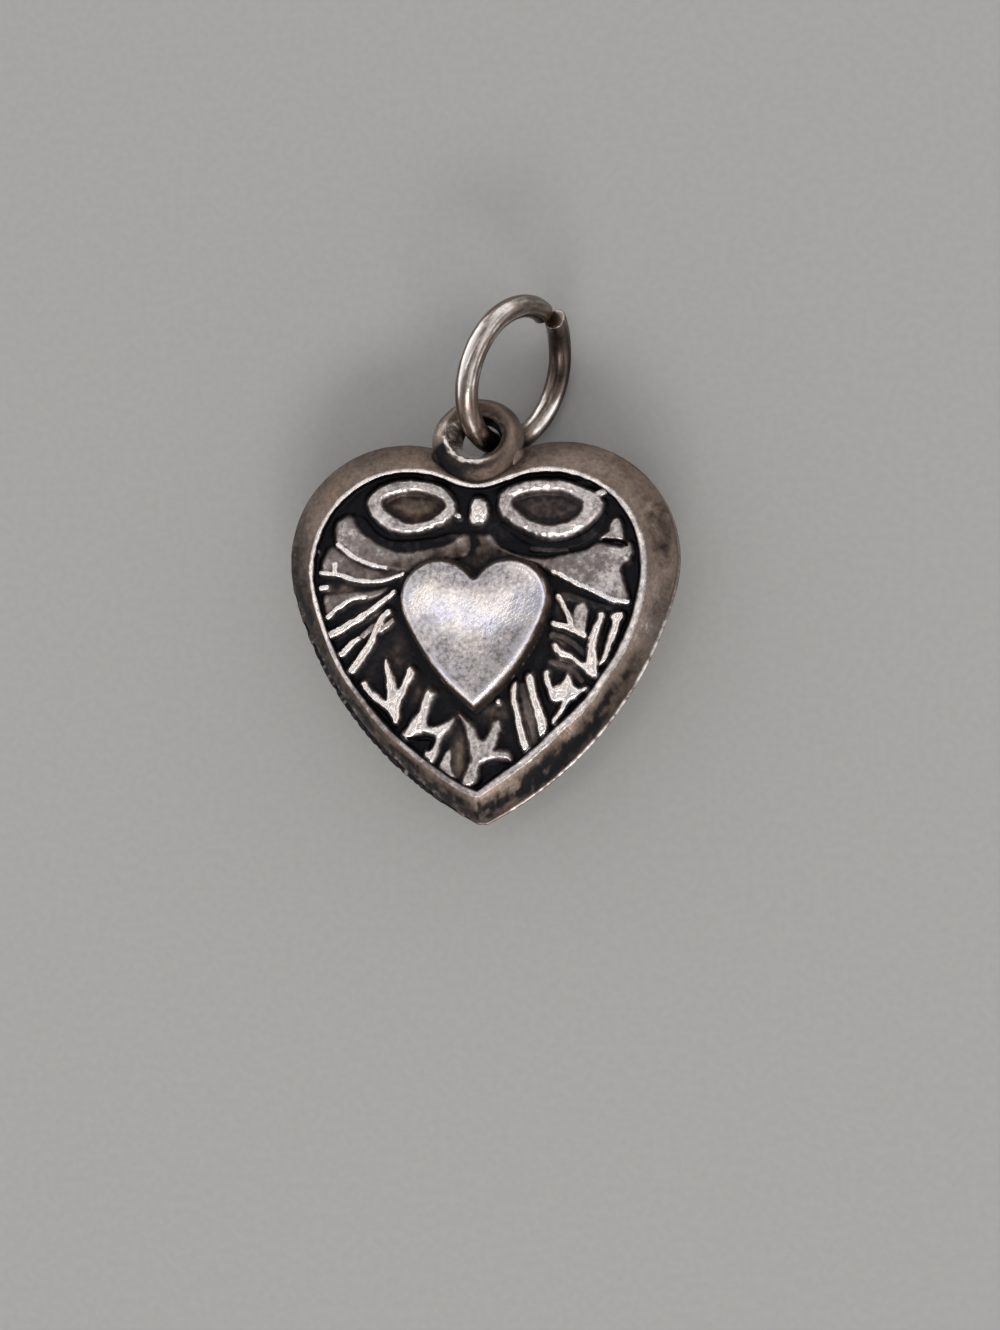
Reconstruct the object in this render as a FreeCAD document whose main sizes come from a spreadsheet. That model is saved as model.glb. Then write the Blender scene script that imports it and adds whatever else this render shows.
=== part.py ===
import FreeCAD, Part
import math
import os
import Sketcher

# A puffed heart charm of silver, with a jump ring, as a parametric document in millimetres.
# Two struck half shells meet at a soldered seam. The front shell is one sheet: a bevelled rim, a sunken field, and
# standing on the field a bow with ribbon tails, leaf sprays and a raised heart boss. The back shell is a plain puff.
# A thick ring, the hanging eye, is soldered into the cleft and leans back, and an open jump ring hangs in it.
# The charm lies on the flat of its back: X to the right, Y up towards the eye, Z out of the front.

Vector = FreeCAD.Vector
Rotation = FreeCAD.Rotation
Placement = FreeCAD.Placement

# The driving sizes: lengths in millimetres, angles in degrees
SIZES = {
    # Outline of the heart at its seam: lobes, long sides and the cleft between the lobes
    "heart_lobe_radius": 4.3,
    "heart_lobe_spread": 2.9,
    "heart_lobe_rise": 2.7,
    "heart_side_radius": 13.4,
    "heart_shoulder_angle": 15,
    "heart_cleft_radius": 2.4,
    # The two sheets and the seam between them
    "sheet_thickness": 0.4,
    "seam_height": 2.4,
    "seam_groove": 0.12,
    "seam_bead": 0.04,
    "back_inset": 3.5,
    # Rim and field of the front
    "rim_wall": 0.25,
    "rim_width": 0.85,
    "rim_rise": 0.95,
    "ridge_width": 0.1,
    "field_depth": 0.35,
    # The raised work on the field
    "relief_root": 0.05,
    "relief_high": 0.3,
    "relief_low": 0.2,
    # How closely an outline's arcs follow its curve
    "outline_tolerance": 0.04,
    # The heart boss
    "boss_lobe_radius": 1.4,
    "boss_lobe_spread": 1.27,
    "boss_lobe_rise": 1.23,
    "boss_side_radius": 8.0,
    "boss_shoulder_angle": 21,
    "boss_cleft_radius": 0.15,
    "boss_shift": 0.08,
    "boss_rise": 1.0,
    "boss_inset": 0.9,
    # The hanging eye: a turned ring with a raised lip round its hole
    "eye_hole_radius": 0.92,
    "eye_outer_radius": 1.7,
    "eye_thickness": 1.0,
    # Its centre: how far left of the middle, above the cleft and above the seam; and how far it leans back
    "eye_shift": 0.08,
    "eye_stand": 0.76,
    "eye_lift": 0.8,
    "eye_lean_angle": 20,
    # The solder at each flank of the eye, and how far it lies below and behind the eye's centre
    "fillet_radius": 0.55,
    "fillet_spread": 1.2,
    "fillet_drop": 0.7,
    "fillet_depth": 0.15,
    # The jump ring: round wire, cut through once
    "ring_radius": 2.575,
    "wire_radius": 0.425,
    "ring_cut": 0.15,
    "ring_lean_angle": 62.75,
    "ring_turn_angle": 22.2,
    "ring_cut_angle": 80,
}

# Sections of the rim's bevel, from the wall up to the ridge: shares of rim_width inwards and of rim_rise upwards
BEVEL_SHARES = ((0.0, 0.0), (0.42, 0.55), (1.0, 1.0))
# Sections of the puffed back, from the seam down to the flat: shares of its inset and of its drop
PUFF_SHARES = ((0.0, 0.0), (0.06, 0.30), (0.22, 0.64), (0.52, 0.90), (1.0, 1.0))
# Sections of the boss, from the field up: shares of boss_inset and of boss_rise
BOSS_SHARES = ((0.0, 0.0), (0.06, 0.45), (0.2, 0.76), (0.5, 0.94), (1.0, 1.0))
# Section of the eye: shares of the band's width out from the hole, and of its thickness to the front
EYE_SECTION_SHARES = (
    (0.0, 0.0), (0.06, 0.32), (0.24, 0.5), (0.46, 0.42), (0.78, 0.16), (1.0, -0.12),
    (0.86, -0.4), (0.5, -0.5), (0.14, -0.34),
)
# Where the jump ring's centre lies from the eye's, along X, Y and Z, in shares of the ring's radius
RING_REACH_SHARES = (0.503, 0.9165, -0.1806)

# Closed outlines of the raised work, in shares of the heart's half width: height's name, outline, hole
PATCH_SHARES = {
    "left_loop": (
        "relief_high",
        ((-0.575, 0.685), (-0.50, 0.745), (-0.38, 0.785), (-0.25, 0.77), (-0.16, 0.72), (-0.112, 0.63),
         (-0.15, 0.555), (-0.25, 0.525), (-0.36, 0.508), (-0.46, 0.53), (-0.535, 0.59)),
        ((-0.50, 0.67), (-0.44, 0.71), (-0.35, 0.728), (-0.24, 0.70), (-0.16, 0.645), (-0.22, 0.59),
         (-0.31, 0.555), (-0.39, 0.56), (-0.46, 0.61)),
    ),
    "right_loop": (
        "relief_high",
        ((0.10, 0.65), (0.13, 0.73), (0.25, 0.765), (0.38, 0.772), (0.50, 0.74), (0.60, 0.69), (0.642, 0.65),
         (0.59, 0.57), (0.52, 0.51), (0.42, 0.468), (0.31, 0.485), (0.20, 0.53), (0.12, 0.575)),
        ((0.16, 0.652), (0.23, 0.692), (0.33, 0.712), (0.44, 0.70), (0.51, 0.66), (0.55, 0.622),
         (0.50, 0.57), (0.42, 0.538), (0.33, 0.537), (0.24, 0.58)),
    ),
    "knot": (
        "relief_high",
        ((0.0, 0.695), (0.05, 0.65), (0.05, 0.58), (0.0, 0.535), (-0.042, 0.58), (-0.035, 0.65)),
        (),
    ),
    "left_tail": (
        "relief_low",
        ((-0.73, 0.44), (-0.60, 0.40), (-0.45, 0.36), (-0.33, 0.365), (-0.38, 0.295), (-0.48, 0.264),
         (-0.58, 0.262), (-0.70, 0.285), (-0.815, 0.315), (-0.805, 0.38)),
        (),
    ),
    "left_tail_fold": (
        "relief_high",
        ((-0.665, 0.60), (-0.62, 0.52), (-0.52, 0.455), (-0.40, 0.415), (-0.28, 0.405), (-0.16, 0.44),
         (-0.065, 0.495), (-0.10, 0.42), (-0.22, 0.385), (-0.36, 0.37), (-0.47, 0.338), (-0.58, 0.368),
         (-0.68, 0.43), (-0.735, 0.50)),
        (),
    ),
    "right_tail": (
        "relief_high",
        ((0.06, 0.495), (0.12, 0.45), (0.27, 0.405), (0.42, 0.388), (0.52, 0.402), (0.60, 0.432), (0.68, 0.405),
         (0.765, 0.44), (0.775, 0.385), (0.715, 0.315), (0.73, 0.22), (0.755, 0.148), (0.66, 0.168),
         (0.50, 0.24), (0.33, 0.32), (0.16, 0.395), (0.07, 0.44)),
        (),
    ),
    "left_fold": (
        "relief_low",
        ((-0.80, 0.20), (-0.79, 0.13), (-0.772, 0.078), (-0.735, 0.122), (-0.66, 0.158), (-0.58, 0.19),
         (-0.50, 0.225), (-0.62, 0.222), (-0.72, 0.212)),
        (),
    ),
}

# Bars of the leaf work, in shares of the heart's half width: each a row of places along it, (x, y, width)
BAR_SHARES = {
    "left_fold_rays": (
        ((-0.745, -0.005, 0.035), (-0.66, 0.042, 0.03), (-0.55, 0.118, 0.03), (-0.44, 0.20, 0.02)),
        ((-0.70, -0.095, 0.035), (-0.65, -0.055, 0.022), (-0.56, 0.015, 0.012)),
        ((-0.645, -0.188, 0.05), (-0.58, -0.09, 0.04), (-0.53, 0.0, 0.042), (-0.49, 0.075, 0.03),
         (-0.44, 0.135, 0.018)),
        ((-0.515, 0.0, 0.03), (-0.475, 0.045, 0.022), (-0.43, 0.068, 0.014)),
    ),
    "left_upper_spray": (
        ((-0.59, -0.25, 0.05), (-0.53, -0.315, 0.052), (-0.46, -0.38, 0.05), (-0.413, -0.46, 0.02)),
        ((-0.468, -0.14, 0.025), (-0.452, -0.22, 0.055), (-0.44, -0.31, 0.05), (-0.425, -0.41, 0.035)),
        ((-0.335, -0.165, 0.035), (-0.36, -0.24, 0.05), (-0.395, -0.32, 0.05), (-0.42, -0.42, 0.03)),
    ),
    "left_lower_spray": (
        ((-0.245, -0.28, 0.045), (-0.27, -0.38, 0.045), (-0.31, -0.46, 0.06), (-0.375, -0.525, 0.035)),
        ((-0.32, -0.485, 0.05), (-0.22, -0.48, 0.045), (-0.15, -0.455, 0.03), (-0.10, -0.412, 0.012)),
        ((-0.185, -0.475, 0.05), (-0.205, -0.54, 0.03), (-0.255, -0.63, 0.045)),
    ),
    "bottom_leaf": (
        ((-0.085, -0.425, 0.02), (-0.03, -0.51, 0.055), (-0.005, -0.59, 0.085), (-0.02, -0.67, 0.05),
         (-0.05, -0.765, 0.06)),
        ((0.0, -0.575, 0.04), (0.065, -0.535, 0.035), (0.095, -0.43, 0.045)),
        ((0.04, -0.60, 0.03), (0.10, -0.61, 0.055), (0.17, -0.632, 0.03)),
        ((-0.14, -0.575, 0.015), (-0.18, -0.665, 0.035), (-0.11, -0.745, 0.03)),
    ),
    "right_bars": (
        ((0.19, -0.24, 0.025), (0.178, -0.32, 0.036), (0.20, -0.44, 0.036), (0.243, -0.575, 0.05)),
        ((0.255, -0.205, 0.032), (0.28, -0.31, 0.038), (0.31, -0.41, 0.045), (0.333, -0.505, 0.055)),
    ),
    "right_lower_spray": (
        ((0.338, -0.185, 0.02), (0.352, -0.255, 0.035), (0.39, -0.335, 0.035)),
        ((0.458, -0.205, 0.02), (0.448, -0.26, 0.06), (0.44, -0.32, 0.075)),
        ((0.375, -0.32, 0.04), (0.46, -0.305, 0.06), (0.555, -0.278, 0.02)),
        ((0.46, -0.335, 0.05), (0.42, -0.395, 0.035), (0.37, -0.465, 0.025)),
    ),
    "right_upper_spray": (
        ((0.38, -0.055, 0.02), (0.42, -0.11, 0.045), (0.50, -0.145, 0.03), (0.59, -0.215, 0.03)),
        ((0.615, 0.10, 0.035), (0.60, 0.03, 0.036), (0.572, -0.08, 0.045), (0.582, -0.19, 0.045)),
        ((0.705, 0.09, 0.065), (0.685, 0.0, 0.045), (0.65, -0.10, 0.035), (0.62, -0.16, 0.018)),
    ),
    "right_tail_end": (
        ((0.698, 0.575, 0.018), (0.70, 0.53, 0.035), (0.695, 0.485, 0.05)),
        ((0.612, 0.464, 0.012), (0.66, 0.484, 0.03), (0.726, 0.478, 0.034)),
    ),
    "right_small_leaf": (
        ((0.41, 0.18, 0.022), (0.445, 0.115, 0.018), (0.475, 0.03, 0.028)),
        ((0.385, 0.045, 0.02), (0.455, 0.033, 0.026), (0.54, -0.012, 0.022)),
        ((0.52, 0.145, 0.03), (0.515, 0.08, 0.06), (0.50, 0.025, 0.05)),
    ),
}

doc = FreeCAD.newDocument("puffed_heart_charm")
sheet = doc.addObject("Spreadsheet::Sheet", "Sizes")
for row, (name, number) in enumerate(SIZES.items(), start=1):
    sheet.set(f"A{row}", name)
    sheet.set(f"B{row}", str(number))
    sheet.setAlias(f"B{row}", name)
doc.recompute()


class Size:
    """A size worked out from the sheet: its number, and the expression that gives it."""

    def __init__(self, number, text):
        self.number = number
        self.text = text

    def __add__(self, other):
        return Size(self.number + other.number, f"{self.text} + {other.text}")

    def __sub__(self, other):
        return Size(self.number - other.number, f"{self.text} - ({other.text})")

    def __mul__(self, share):
        return Size(self.number * share, f"({self.text}) * {share}")


ZERO = Size(0.0, "0")
size = {name: Size(sheet.get(name), f"Sizes.{name}") for name in SIZES}

half_width = size["heart_lobe_spread"] + size["heart_lobe_radius"]
seam = size["seam_height"]
seam_top = seam + size["seam_groove"]
seam_bottom = seam - size["seam_groove"]
bevel_foot = seam_top + size["rim_wall"]
ridge = bevel_foot + size["rim_rise"]
field = ridge - size["field_depth"]
ceiling = field - size["sheet_thickness"]
relief_foot = field - size["relief_root"]


def cleft_bottom():
    """The lowest place of the seam's outline between the two lobes."""
    rise = size["heart_lobe_rise"]
    spread = size["heart_lobe_spread"]
    cleft = size["heart_cleft_radius"]
    reach = size["heart_lobe_radius"] + cleft
    height = math.sqrt(reach.number ** 2 - spread.number ** 2)
    return rise + Size(height, f"sqrt(({reach.text})^2 - ({spread.text})^2)") - cleft


eye_x = ZERO - size["eye_shift"]
eye_y = cleft_bottom() + size["eye_stand"]
eye_z = seam + size["eye_lift"]


def new_body(name):
    """An empty PartDesign body."""
    body = doc.addObject("PartDesign::Body", name)
    body.Label = name
    return body


def new_sketch(body, name, level=ZERO, role="XY_Plane"):
    """A sketch on one of the body's origin planes, raised to a level."""
    sketch = body.newObject("Sketcher::SketchObject", name)
    plane = next(item for item in body.Origin.OriginFeatures if item.Role == role)
    sketch.AttachmentSupport = [(plane, "")]
    sketch.MapMode = "FlatFace"
    sketch.AttachmentOffset = Placement(Vector(0, 0, level.number), Rotation())
    sketch.setExpression("AttachmentOffset.Base.z", level.text)
    return sketch


def place(item, *centre):
    """Puts an object's centre at a place that follows the sizes."""
    for axis, length in zip("xyz", centre):
        item.setExpression(f"Placement.Base.{axis}", length.text)


def constrain(sketch, name, length, kind, *what):
    """Adds a named constraint that follows a size."""
    number = sketch.addConstraint(Sketcher.Constraint(kind, *what, length.number))
    sketch.renameConstraint(number, name)
    sketch.setExpression(f"Constraints.{name}", length.text)


def heart_sketch(body, name, family, inset, level):
    """A heart drawn inside a family's outline by an inset: two lobes, two long sides and the cleft, all tangent."""
    spread = size[f"{family}_lobe_spread"]
    rise = size[f"{family}_lobe_rise"]
    shoulder = size[f"{family}_shoulder_angle"]
    lobe = size[f"{family}_lobe_radius"] - inset
    side = size[f"{family}_side_radius"] - inset
    cleft = size[f"{family}_cleft_radius"] + inset
    slope = math.radians(shoulder.number)
    arm = side.number - lobe.number
    side_x = spread.number - arm * math.cos(slope)
    side_y = rise.number + arm * math.sin(slope)
    cleft_y = rise.number + math.sqrt((lobe.number + cleft.number) ** 2 - spread.number ** 2)
    tip = -math.acos(-side_x / side.number)
    joint = math.atan2(cleft_y - rise.number, -spread.number)
    arcs = (
        (spread.number, rise.number, lobe.number, -slope, joint),
        (side_x, side_y, side.number, tip, -slope),
        (-spread.number, rise.number, lobe.number, math.pi - joint, math.pi + slope),
        (-side_x, side_y, side.number, math.pi + slope, math.pi - tip),
        (0, cleft_y, cleft.number, joint - math.pi, -joint),
    )
    sketch = new_sketch(body, name, level)
    for x, y, radius, start, end in arcs:
        circle = Part.Circle(Vector(x, y, 0), Vector(0, 0, 1), radius)
        sketch.addGeometry(Part.ArcOfCircle(circle, start, end))
    constrain(sketch, "lobe_spread", spread, "DistanceX", -1, 1, 0, 3)
    constrain(sketch, "lobe_rise", rise, "DistanceY", -1, 1, 0, 3)
    constrain(sketch, "lobe_radius", lobe, "Radius", 0)
    constrain(sketch, "side_radius", side, "Radius", 1)
    constrain(sketch, "cleft_radius", cleft, "Radius", 4)
    reach = Size(-side_x, f"({side.text} - ({lobe.text})) * cos({shoulder.text} * 1 deg) - {spread.text}")
    constrain(sketch, "side_reach", reach, "DistanceX", 1, 3, -1, 1)
    for rule in (
        ("Symmetric", 0, 3, 2, 3, -2),
        ("Equal", 0, 2),
        ("Equal", 1, 3),
        ("Tangent", 0, 1, 1, 2),
        ("Tangent", 2, 2, 3, 1),
        ("Tangent", 0, 2, 4, 2),
        ("Tangent", 2, 1, 4, 1),
        ("PointOnObject", 1, 1, -2),
        ("Coincident", 3, 2, 1, 1),
    ):
        sketch.addConstraint(Sketcher.Constraint(*rule))
    return sketch


def loft(body, name, sketches, cut=False, ruled=False):
    """A loft through level sketches, added to the body or cut from it."""
    feature = body.newObject("PartDesign::SubtractiveLoft" if cut else "PartDesign::AdditiveLoft", name)
    feature.Profile = sketches[0]
    feature.Sections = sketches[1:]
    feature.Ruled = ruled
    return feature


def pad(body, name, sketch, length):
    """A pad upwards from a level sketch."""
    feature = body.newObject("PartDesign::Pad", name)
    feature.Profile = sketch
    feature.setExpression("Length", length.text)


def arcs_through(points, closed=False):
    """A smooth curve through points, as a run of arcs that meet smoothly, as a die cutter draws it."""
    curve = Part.BSplineCurve()
    curve.interpolate(points, closed)
    return curve.toBiArcs(size["outline_tolerance"].number)


def raise_outline(name, curves, height):
    """A closed outline on the field, raised to a height; its root goes a little below the field."""
    outline = doc.addObject("Sketcher::SketchObject", f"{name}_outline")
    for curve in curves:
        outline.addGeometry(curve)
    outline.setExpression("Placement.Base.z", relief_foot.text)
    raised = doc.addObject("Part::Extrusion", name)
    raised.Base = outline
    raised.DirMode = "Normal"
    raised.Solid = True
    raised.FaceMakerClass = "Part::FaceMakerBullseye"
    raised.setExpression("LengthFwd", (height + size["relief_root"]).text)
    return raised


def make_patches():
    """The bow, its ribbon tails and the folds."""
    unit = half_width.number
    patches = []
    for name, (height, outline, hole) in PATCH_SHARES.items():
        curves = []
        for shares in filter(None, (outline, hole)):
            curves.extend(arcs_through([Vector(x * unit, y * unit, 0) for x, y in shares], closed=True))
        patches.append(raise_outline(name, curves, size[height]))
    return patches


def bar_outline(shares):
    """The outline of a bar: two smooth sides at half its width from the places along it, and two flat ends."""
    unit = half_width.number
    places = [Vector(x * unit, y * unit, 0) for x, y, _ in shares]
    left = []
    right = []
    for number, (place, (_, _, width)) in enumerate(zip(places, shares)):
        along = places[min(number + 1, len(places) - 1)] - places[max(number - 1, 0)]
        across = Vector(-along.y, along.x, 0).normalize() * (width * unit / 2)
        left.append(place + across)
        right.append(place - across)
    ends = Part.LineSegment(left[-1], right[-1]), Part.LineSegment(right[0], left[0])
    return *arcs_through(left), *arcs_through(right), *ends


def make_bars():
    """The leaf work: curved bars of changing width."""
    bars = []
    for name, group in BAR_SHARES.items():
        for number, shares in enumerate(group, start=1):
            bars.append(raise_outline(f"{name}_{number}", bar_outline(shares), size["relief_high"]))
    return bars


def make_front_blank():
    """The outside of the front shell before its raised work: the rim and the sunken field."""
    body = new_body("front_blank")
    chamfer = [
        heart_sketch(body, "seam_edge", "heart", size["seam_groove"], seam),
        heart_sketch(body, "wall_foot", "heart", ZERO, seam_top),
    ]
    loft(body, "seam_chamfer", chamfer, ruled=True)
    pad(body, "wall", heart_sketch(body, "wall_outline", "heart", ZERO, seam_top), size["rim_wall"])
    sections = []
    for number, (inward, upward) in enumerate(BEVEL_SHARES, start=1):
        inset = size["rim_width"] * inward
        level = bevel_foot + size["rim_rise"] * upward
        sections.append(heart_sketch(body, f"bevel_{number}", "heart", inset, level))
    loft(body, "bevel", sections)
    pocket = body.newObject("PartDesign::Pocket", "field")
    pocket.Profile = heart_sketch(body, "field_outline", "heart", size["rim_width"] + size["ridge_width"], ridge)
    pocket.setExpression("Length", size["field_depth"].text)
    return body


def make_boss(name, inset, foot, ruled=False):
    """A pillow in the shape of a heart, inside the boss's outline by an inset, from a foot up; ruled is in bands."""
    body = new_body(name)
    rise = size["boss_rise"] + size["relief_root"]
    sections = []
    for number, (inward, upward) in enumerate(BOSS_SHARES, start=1):
        inset_here = inset + size["boss_inset"] * inward
        sections.append(heart_sketch(body, f"{name}_{number}", "boss", inset_here, foot + rise * upward))
    loft(body, f"{name}_pillow", sections, ruled=ruled)
    place(body, ZERO - size["boss_shift"])
    return body


def make_front_core():
    """The hollow between the seam and the underside of the field."""
    body = new_body("front_core")
    sections = [
        heart_sketch(body, "core_foot", "heart", size["sheet_thickness"], seam),
        heart_sketch(body, "core_top", "heart", size["sheet_thickness"] + size["rim_width"] * 0.5, ceiling),
    ]
    loft(body, "core", sections, ruled=True)
    return body


def puff(body, name, inset, reach, top, drop, cut=False):
    """The puffed form of the back, from the seam down to the flat, or its hollow, which is cut in bands."""
    sections = []
    for number, (inward, downward) in enumerate(PUFF_SHARES, start=1):
        level = top - drop * downward
        sections.append(heart_sketch(body, f"{name}_{number}", "heart", inset + reach * inward, level))
    loft(body, name, sections, cut, ruled=cut)


def make_back_shell():
    """The plain puffed back, with a flat to rest on, hollowed to the sheet's thickness."""
    body = new_body("back_shell")
    chamfer = [
        heart_sketch(body, "back_edge", "heart", size["seam_groove"], seam),
        heart_sketch(body, "back_foot", "heart", ZERO, seam_bottom),
    ]
    loft(body, "back_chamfer", chamfer, ruled=True)
    puff(body, "back_puff", ZERO, size["back_inset"], seam_bottom, seam_bottom)
    wall = size["sheet_thickness"]
    puff(body, "back_hollow", wall, size["back_inset"] - wall, seam, seam - wall, cut=True)
    return body


def make_seam_solder():
    """The bead that fills the groove between the two shells all the way round."""
    body = new_body("seam_solder")
    for name, inset, cut in (("bead", ZERO - size["seam_bead"], False), ("groove", size["seam_groove"], True)):
        sections = [
            heart_sketch(body, f"{name}_bottom", "heart", ZERO, seam_bottom),
            heart_sketch(body, f"{name}_middle", "heart", inset, seam),
            heart_sketch(body, f"{name}_top", "heart", ZERO, seam_top),
        ]
        loft(body, name, sections, cut, ruled=True)
    return body


def revolve(body, name, sketch, angle):
    """Turns a sketch about the body's upright axis."""
    feature = body.newObject("PartDesign::Revolution", name)
    feature.Profile = sketch
    feature.ReferenceAxis = (sketch, ["V_Axis"])
    feature.Angle = angle


def make_eye_blank():
    """The hanging eye before its foot is fitted to the heart: an egg-shaped section turned round the hole."""
    body = new_body("eye_blank")
    sketch = new_sketch(body, "eye_section", role="XZ_Plane")
    hole = size["eye_hole_radius"].number
    width = size["eye_outer_radius"].number - hole
    thick = size["eye_thickness"].number
    points = [Vector(hole + out * width, front * thick, 0) for out, front in EYE_SECTION_SHARES]
    for arc in arcs_through(points, closed=True):
        sketch.addGeometry(arc)
    revolve(body, "eye_turned", sketch, 360)
    body.Placement = Placement(Vector(), Rotation(Vector(1, 0, 0), -size["eye_lean_angle"].number))
    place(body, eye_x, eye_y, eye_z)
    return body


def make_jump_ring():
    """A ring of round wire with one sawn gap, leaning on the table through the eye."""
    body = new_body("jump_ring")
    sketch = new_sketch(body, "wire_section", role="XZ_Plane")
    radius = size["ring_radius"]
    wire = size["wire_radius"]
    sketch.addGeometry(Part.Circle(Vector(radius.number, 0, 0), Vector(0, 0, 1), wire.number))
    constrain(sketch, "wire_radius", wire, "Radius", 0)
    constrain(sketch, "ring_radius", radius, "DistanceX", -1, 1, 0, 3)
    sketch.addConstraint(Sketcher.Constraint("PointOnObject", 0, 3, -1))
    gap = math.degrees(size["ring_cut"].number / radius.number)
    revolve(body, "wire", sketch, 360 - gap)
    lean = Rotation(-size["ring_turn_angle"].number, size["ring_lean_angle"].number, 0)
    spin = Rotation(size["ring_cut_angle"].number + gap / 2, 0, 0)
    body.Placement = Placement(Vector(), lean.multiply(spin))
    place(body, *(centre + radius * share for centre, share in zip((eye_x, eye_y, eye_z), RING_REACH_SHARES)))
    return body


def make_fillet(name, side):
    """A lump of solder at one flank of the eye, before it is fitted; side is -1 for left and 1 for right."""
    ball = doc.addObject("Part::Sphere", name)
    ball.setExpression("Radius", size["fillet_radius"].text)
    place(ball, eye_x + size["fillet_spread"] * side, eye_y - size["fillet_drop"], eye_z - size["fillet_depth"])
    return ball


def fuse(name, *shapes):
    """The union of solids, as one object."""
    result = doc.addObject("Part::MultiFuse", name)
    result.Shapes = list(shapes)
    return result


def cut(name, base, tool):
    """One solid with another taken away, as one object."""
    result = doc.addObject("Part::Cut", name)
    result.Label = name
    result.Base = base
    result.Tool = tool
    return result


front_blank = make_front_blank()
boss = make_boss("boss", ZERO, relief_foot)
boss_core = make_boss("boss_core", size["sheet_thickness"], ceiling - size["relief_root"], ruled=True)
front_outside = fuse("front_outside", front_blank, boss, *make_patches(), *make_bars())
front_hollow = fuse("front_hollow", make_front_core(), boss_core)
eye_blank = make_eye_blank()
fillets = fuse("fillets", make_fillet("left_fillet", -1), make_fillet("right_fillet", 1))
pieces = (
    cut("front_shell", front_outside, front_hollow),
    make_back_shell(),
    make_seam_solder(),
    cut("hanging_eye", eye_blank, front_blank),
    cut("eye_solder", fillets, fuse("fillet_seats", front_blank, eye_blank)),
    make_jump_ring(),
)
doc.recompute()

for item in doc.Objects:
    if any(state in ("Invalid", "Error") for state in item.State):
        raise RuntimeError(f"{item.Name} failed: {item.State}")

os.makedirs("parts", exist_ok=True)
for piece in pieces:
    shape = piece.Shape
    if shape.isNull() or not shape.isValid():
        raise RuntimeError(f"{piece.Label} has no valid shape")
    shape.exportStep(f"parts/{piece.Label}.step")
    box = shape.BoundBox
    print(
        f"{piece.Label}: {len(shape.Solids)} solid, {shape.Volume:.3f} mm3,"
        f" x {box.XMin:.2f} to {box.XMax:.2f}, y {box.YMin:.2f} to {box.YMax:.2f}, z {box.ZMin:.2f} to {box.ZMax:.2f}"
    )
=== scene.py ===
"""The puffed heart charm on a warm grey table: its meshes, its tarnished silver, soft light and the camera."""

import math

import bpy
import numpy as np
from mathutils import Matrix, Vector

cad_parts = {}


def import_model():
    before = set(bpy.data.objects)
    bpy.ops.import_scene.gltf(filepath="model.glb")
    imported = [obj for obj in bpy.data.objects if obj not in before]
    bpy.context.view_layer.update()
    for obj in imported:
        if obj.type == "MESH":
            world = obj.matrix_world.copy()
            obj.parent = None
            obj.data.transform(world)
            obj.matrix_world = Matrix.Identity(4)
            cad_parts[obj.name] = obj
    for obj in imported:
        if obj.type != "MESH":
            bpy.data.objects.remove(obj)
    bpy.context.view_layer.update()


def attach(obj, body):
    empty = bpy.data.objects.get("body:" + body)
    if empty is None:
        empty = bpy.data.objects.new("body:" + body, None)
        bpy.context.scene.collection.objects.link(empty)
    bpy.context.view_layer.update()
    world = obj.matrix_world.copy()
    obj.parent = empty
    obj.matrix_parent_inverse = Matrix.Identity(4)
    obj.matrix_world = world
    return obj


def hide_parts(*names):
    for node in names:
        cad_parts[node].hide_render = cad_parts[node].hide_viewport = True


MM = 0.001
FIELD_HALF = 7.2  # mm for one share of the relief tables, whose origin is the middle of the heart

# Camera: its direction, its distance and shift in mm, and its angle of view in degrees
CAMERA_FROM = (0.151, -0.045, 0.9875)
CAMERA_DISTANCE = 75.0
CAMERA_SHIFT = (0.623, -1.099)
CAMERA_ANGLE = 35.98

# Levels of the seam and of the front, in mm
SEAM_LEVEL = 2.4
BEVEL_FOOT = 2.77
RIDGE = 3.72
FIELD = 3.37

# Steps of the mesh: along one half of the outline, along the middle block's edges, and in towards that block
SIDE_STEPS = 210
LOBE_STEPS = 156
CLEFT_STEPS = 34
HALF_STEPS = SIDE_STEPS + LOBE_STEPS + CLEFT_STEPS
WHOLE_STEPS = 2 * HALF_STEPS
BLOCK_STEPS = HALF_STEPS // 2
FIELD_RINGS = 36
NOISE_CELLS = 97  # after so many cells the random values repeat
CORNER_CUTS = 2  # so often a drawn line's corners are cut

# Edges of the relief: how far they stand out past their outlines and how wide their foot is, in mm
EDGE_OUT = 0.085
FOOT_WIDTH = 0.13
FOOT_SHARE = 0.3
STRUCK_SHINE = 1.08  # times each area's own shine

# The middle block of the field, in mm: its low and top corners, its right corner and how far its edges bow out
BLOCK_LOW, BLOCK_TOP = -4.55, 4.35
BLOCK_RIGHT = (4.75, 2.35)
BLOCK_BULGE_SHARES = (0.1, 0.07)
BLOCK_WALL_SHARE = 9.0  # in the place of a share of the ridge's wall: far past it

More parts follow.
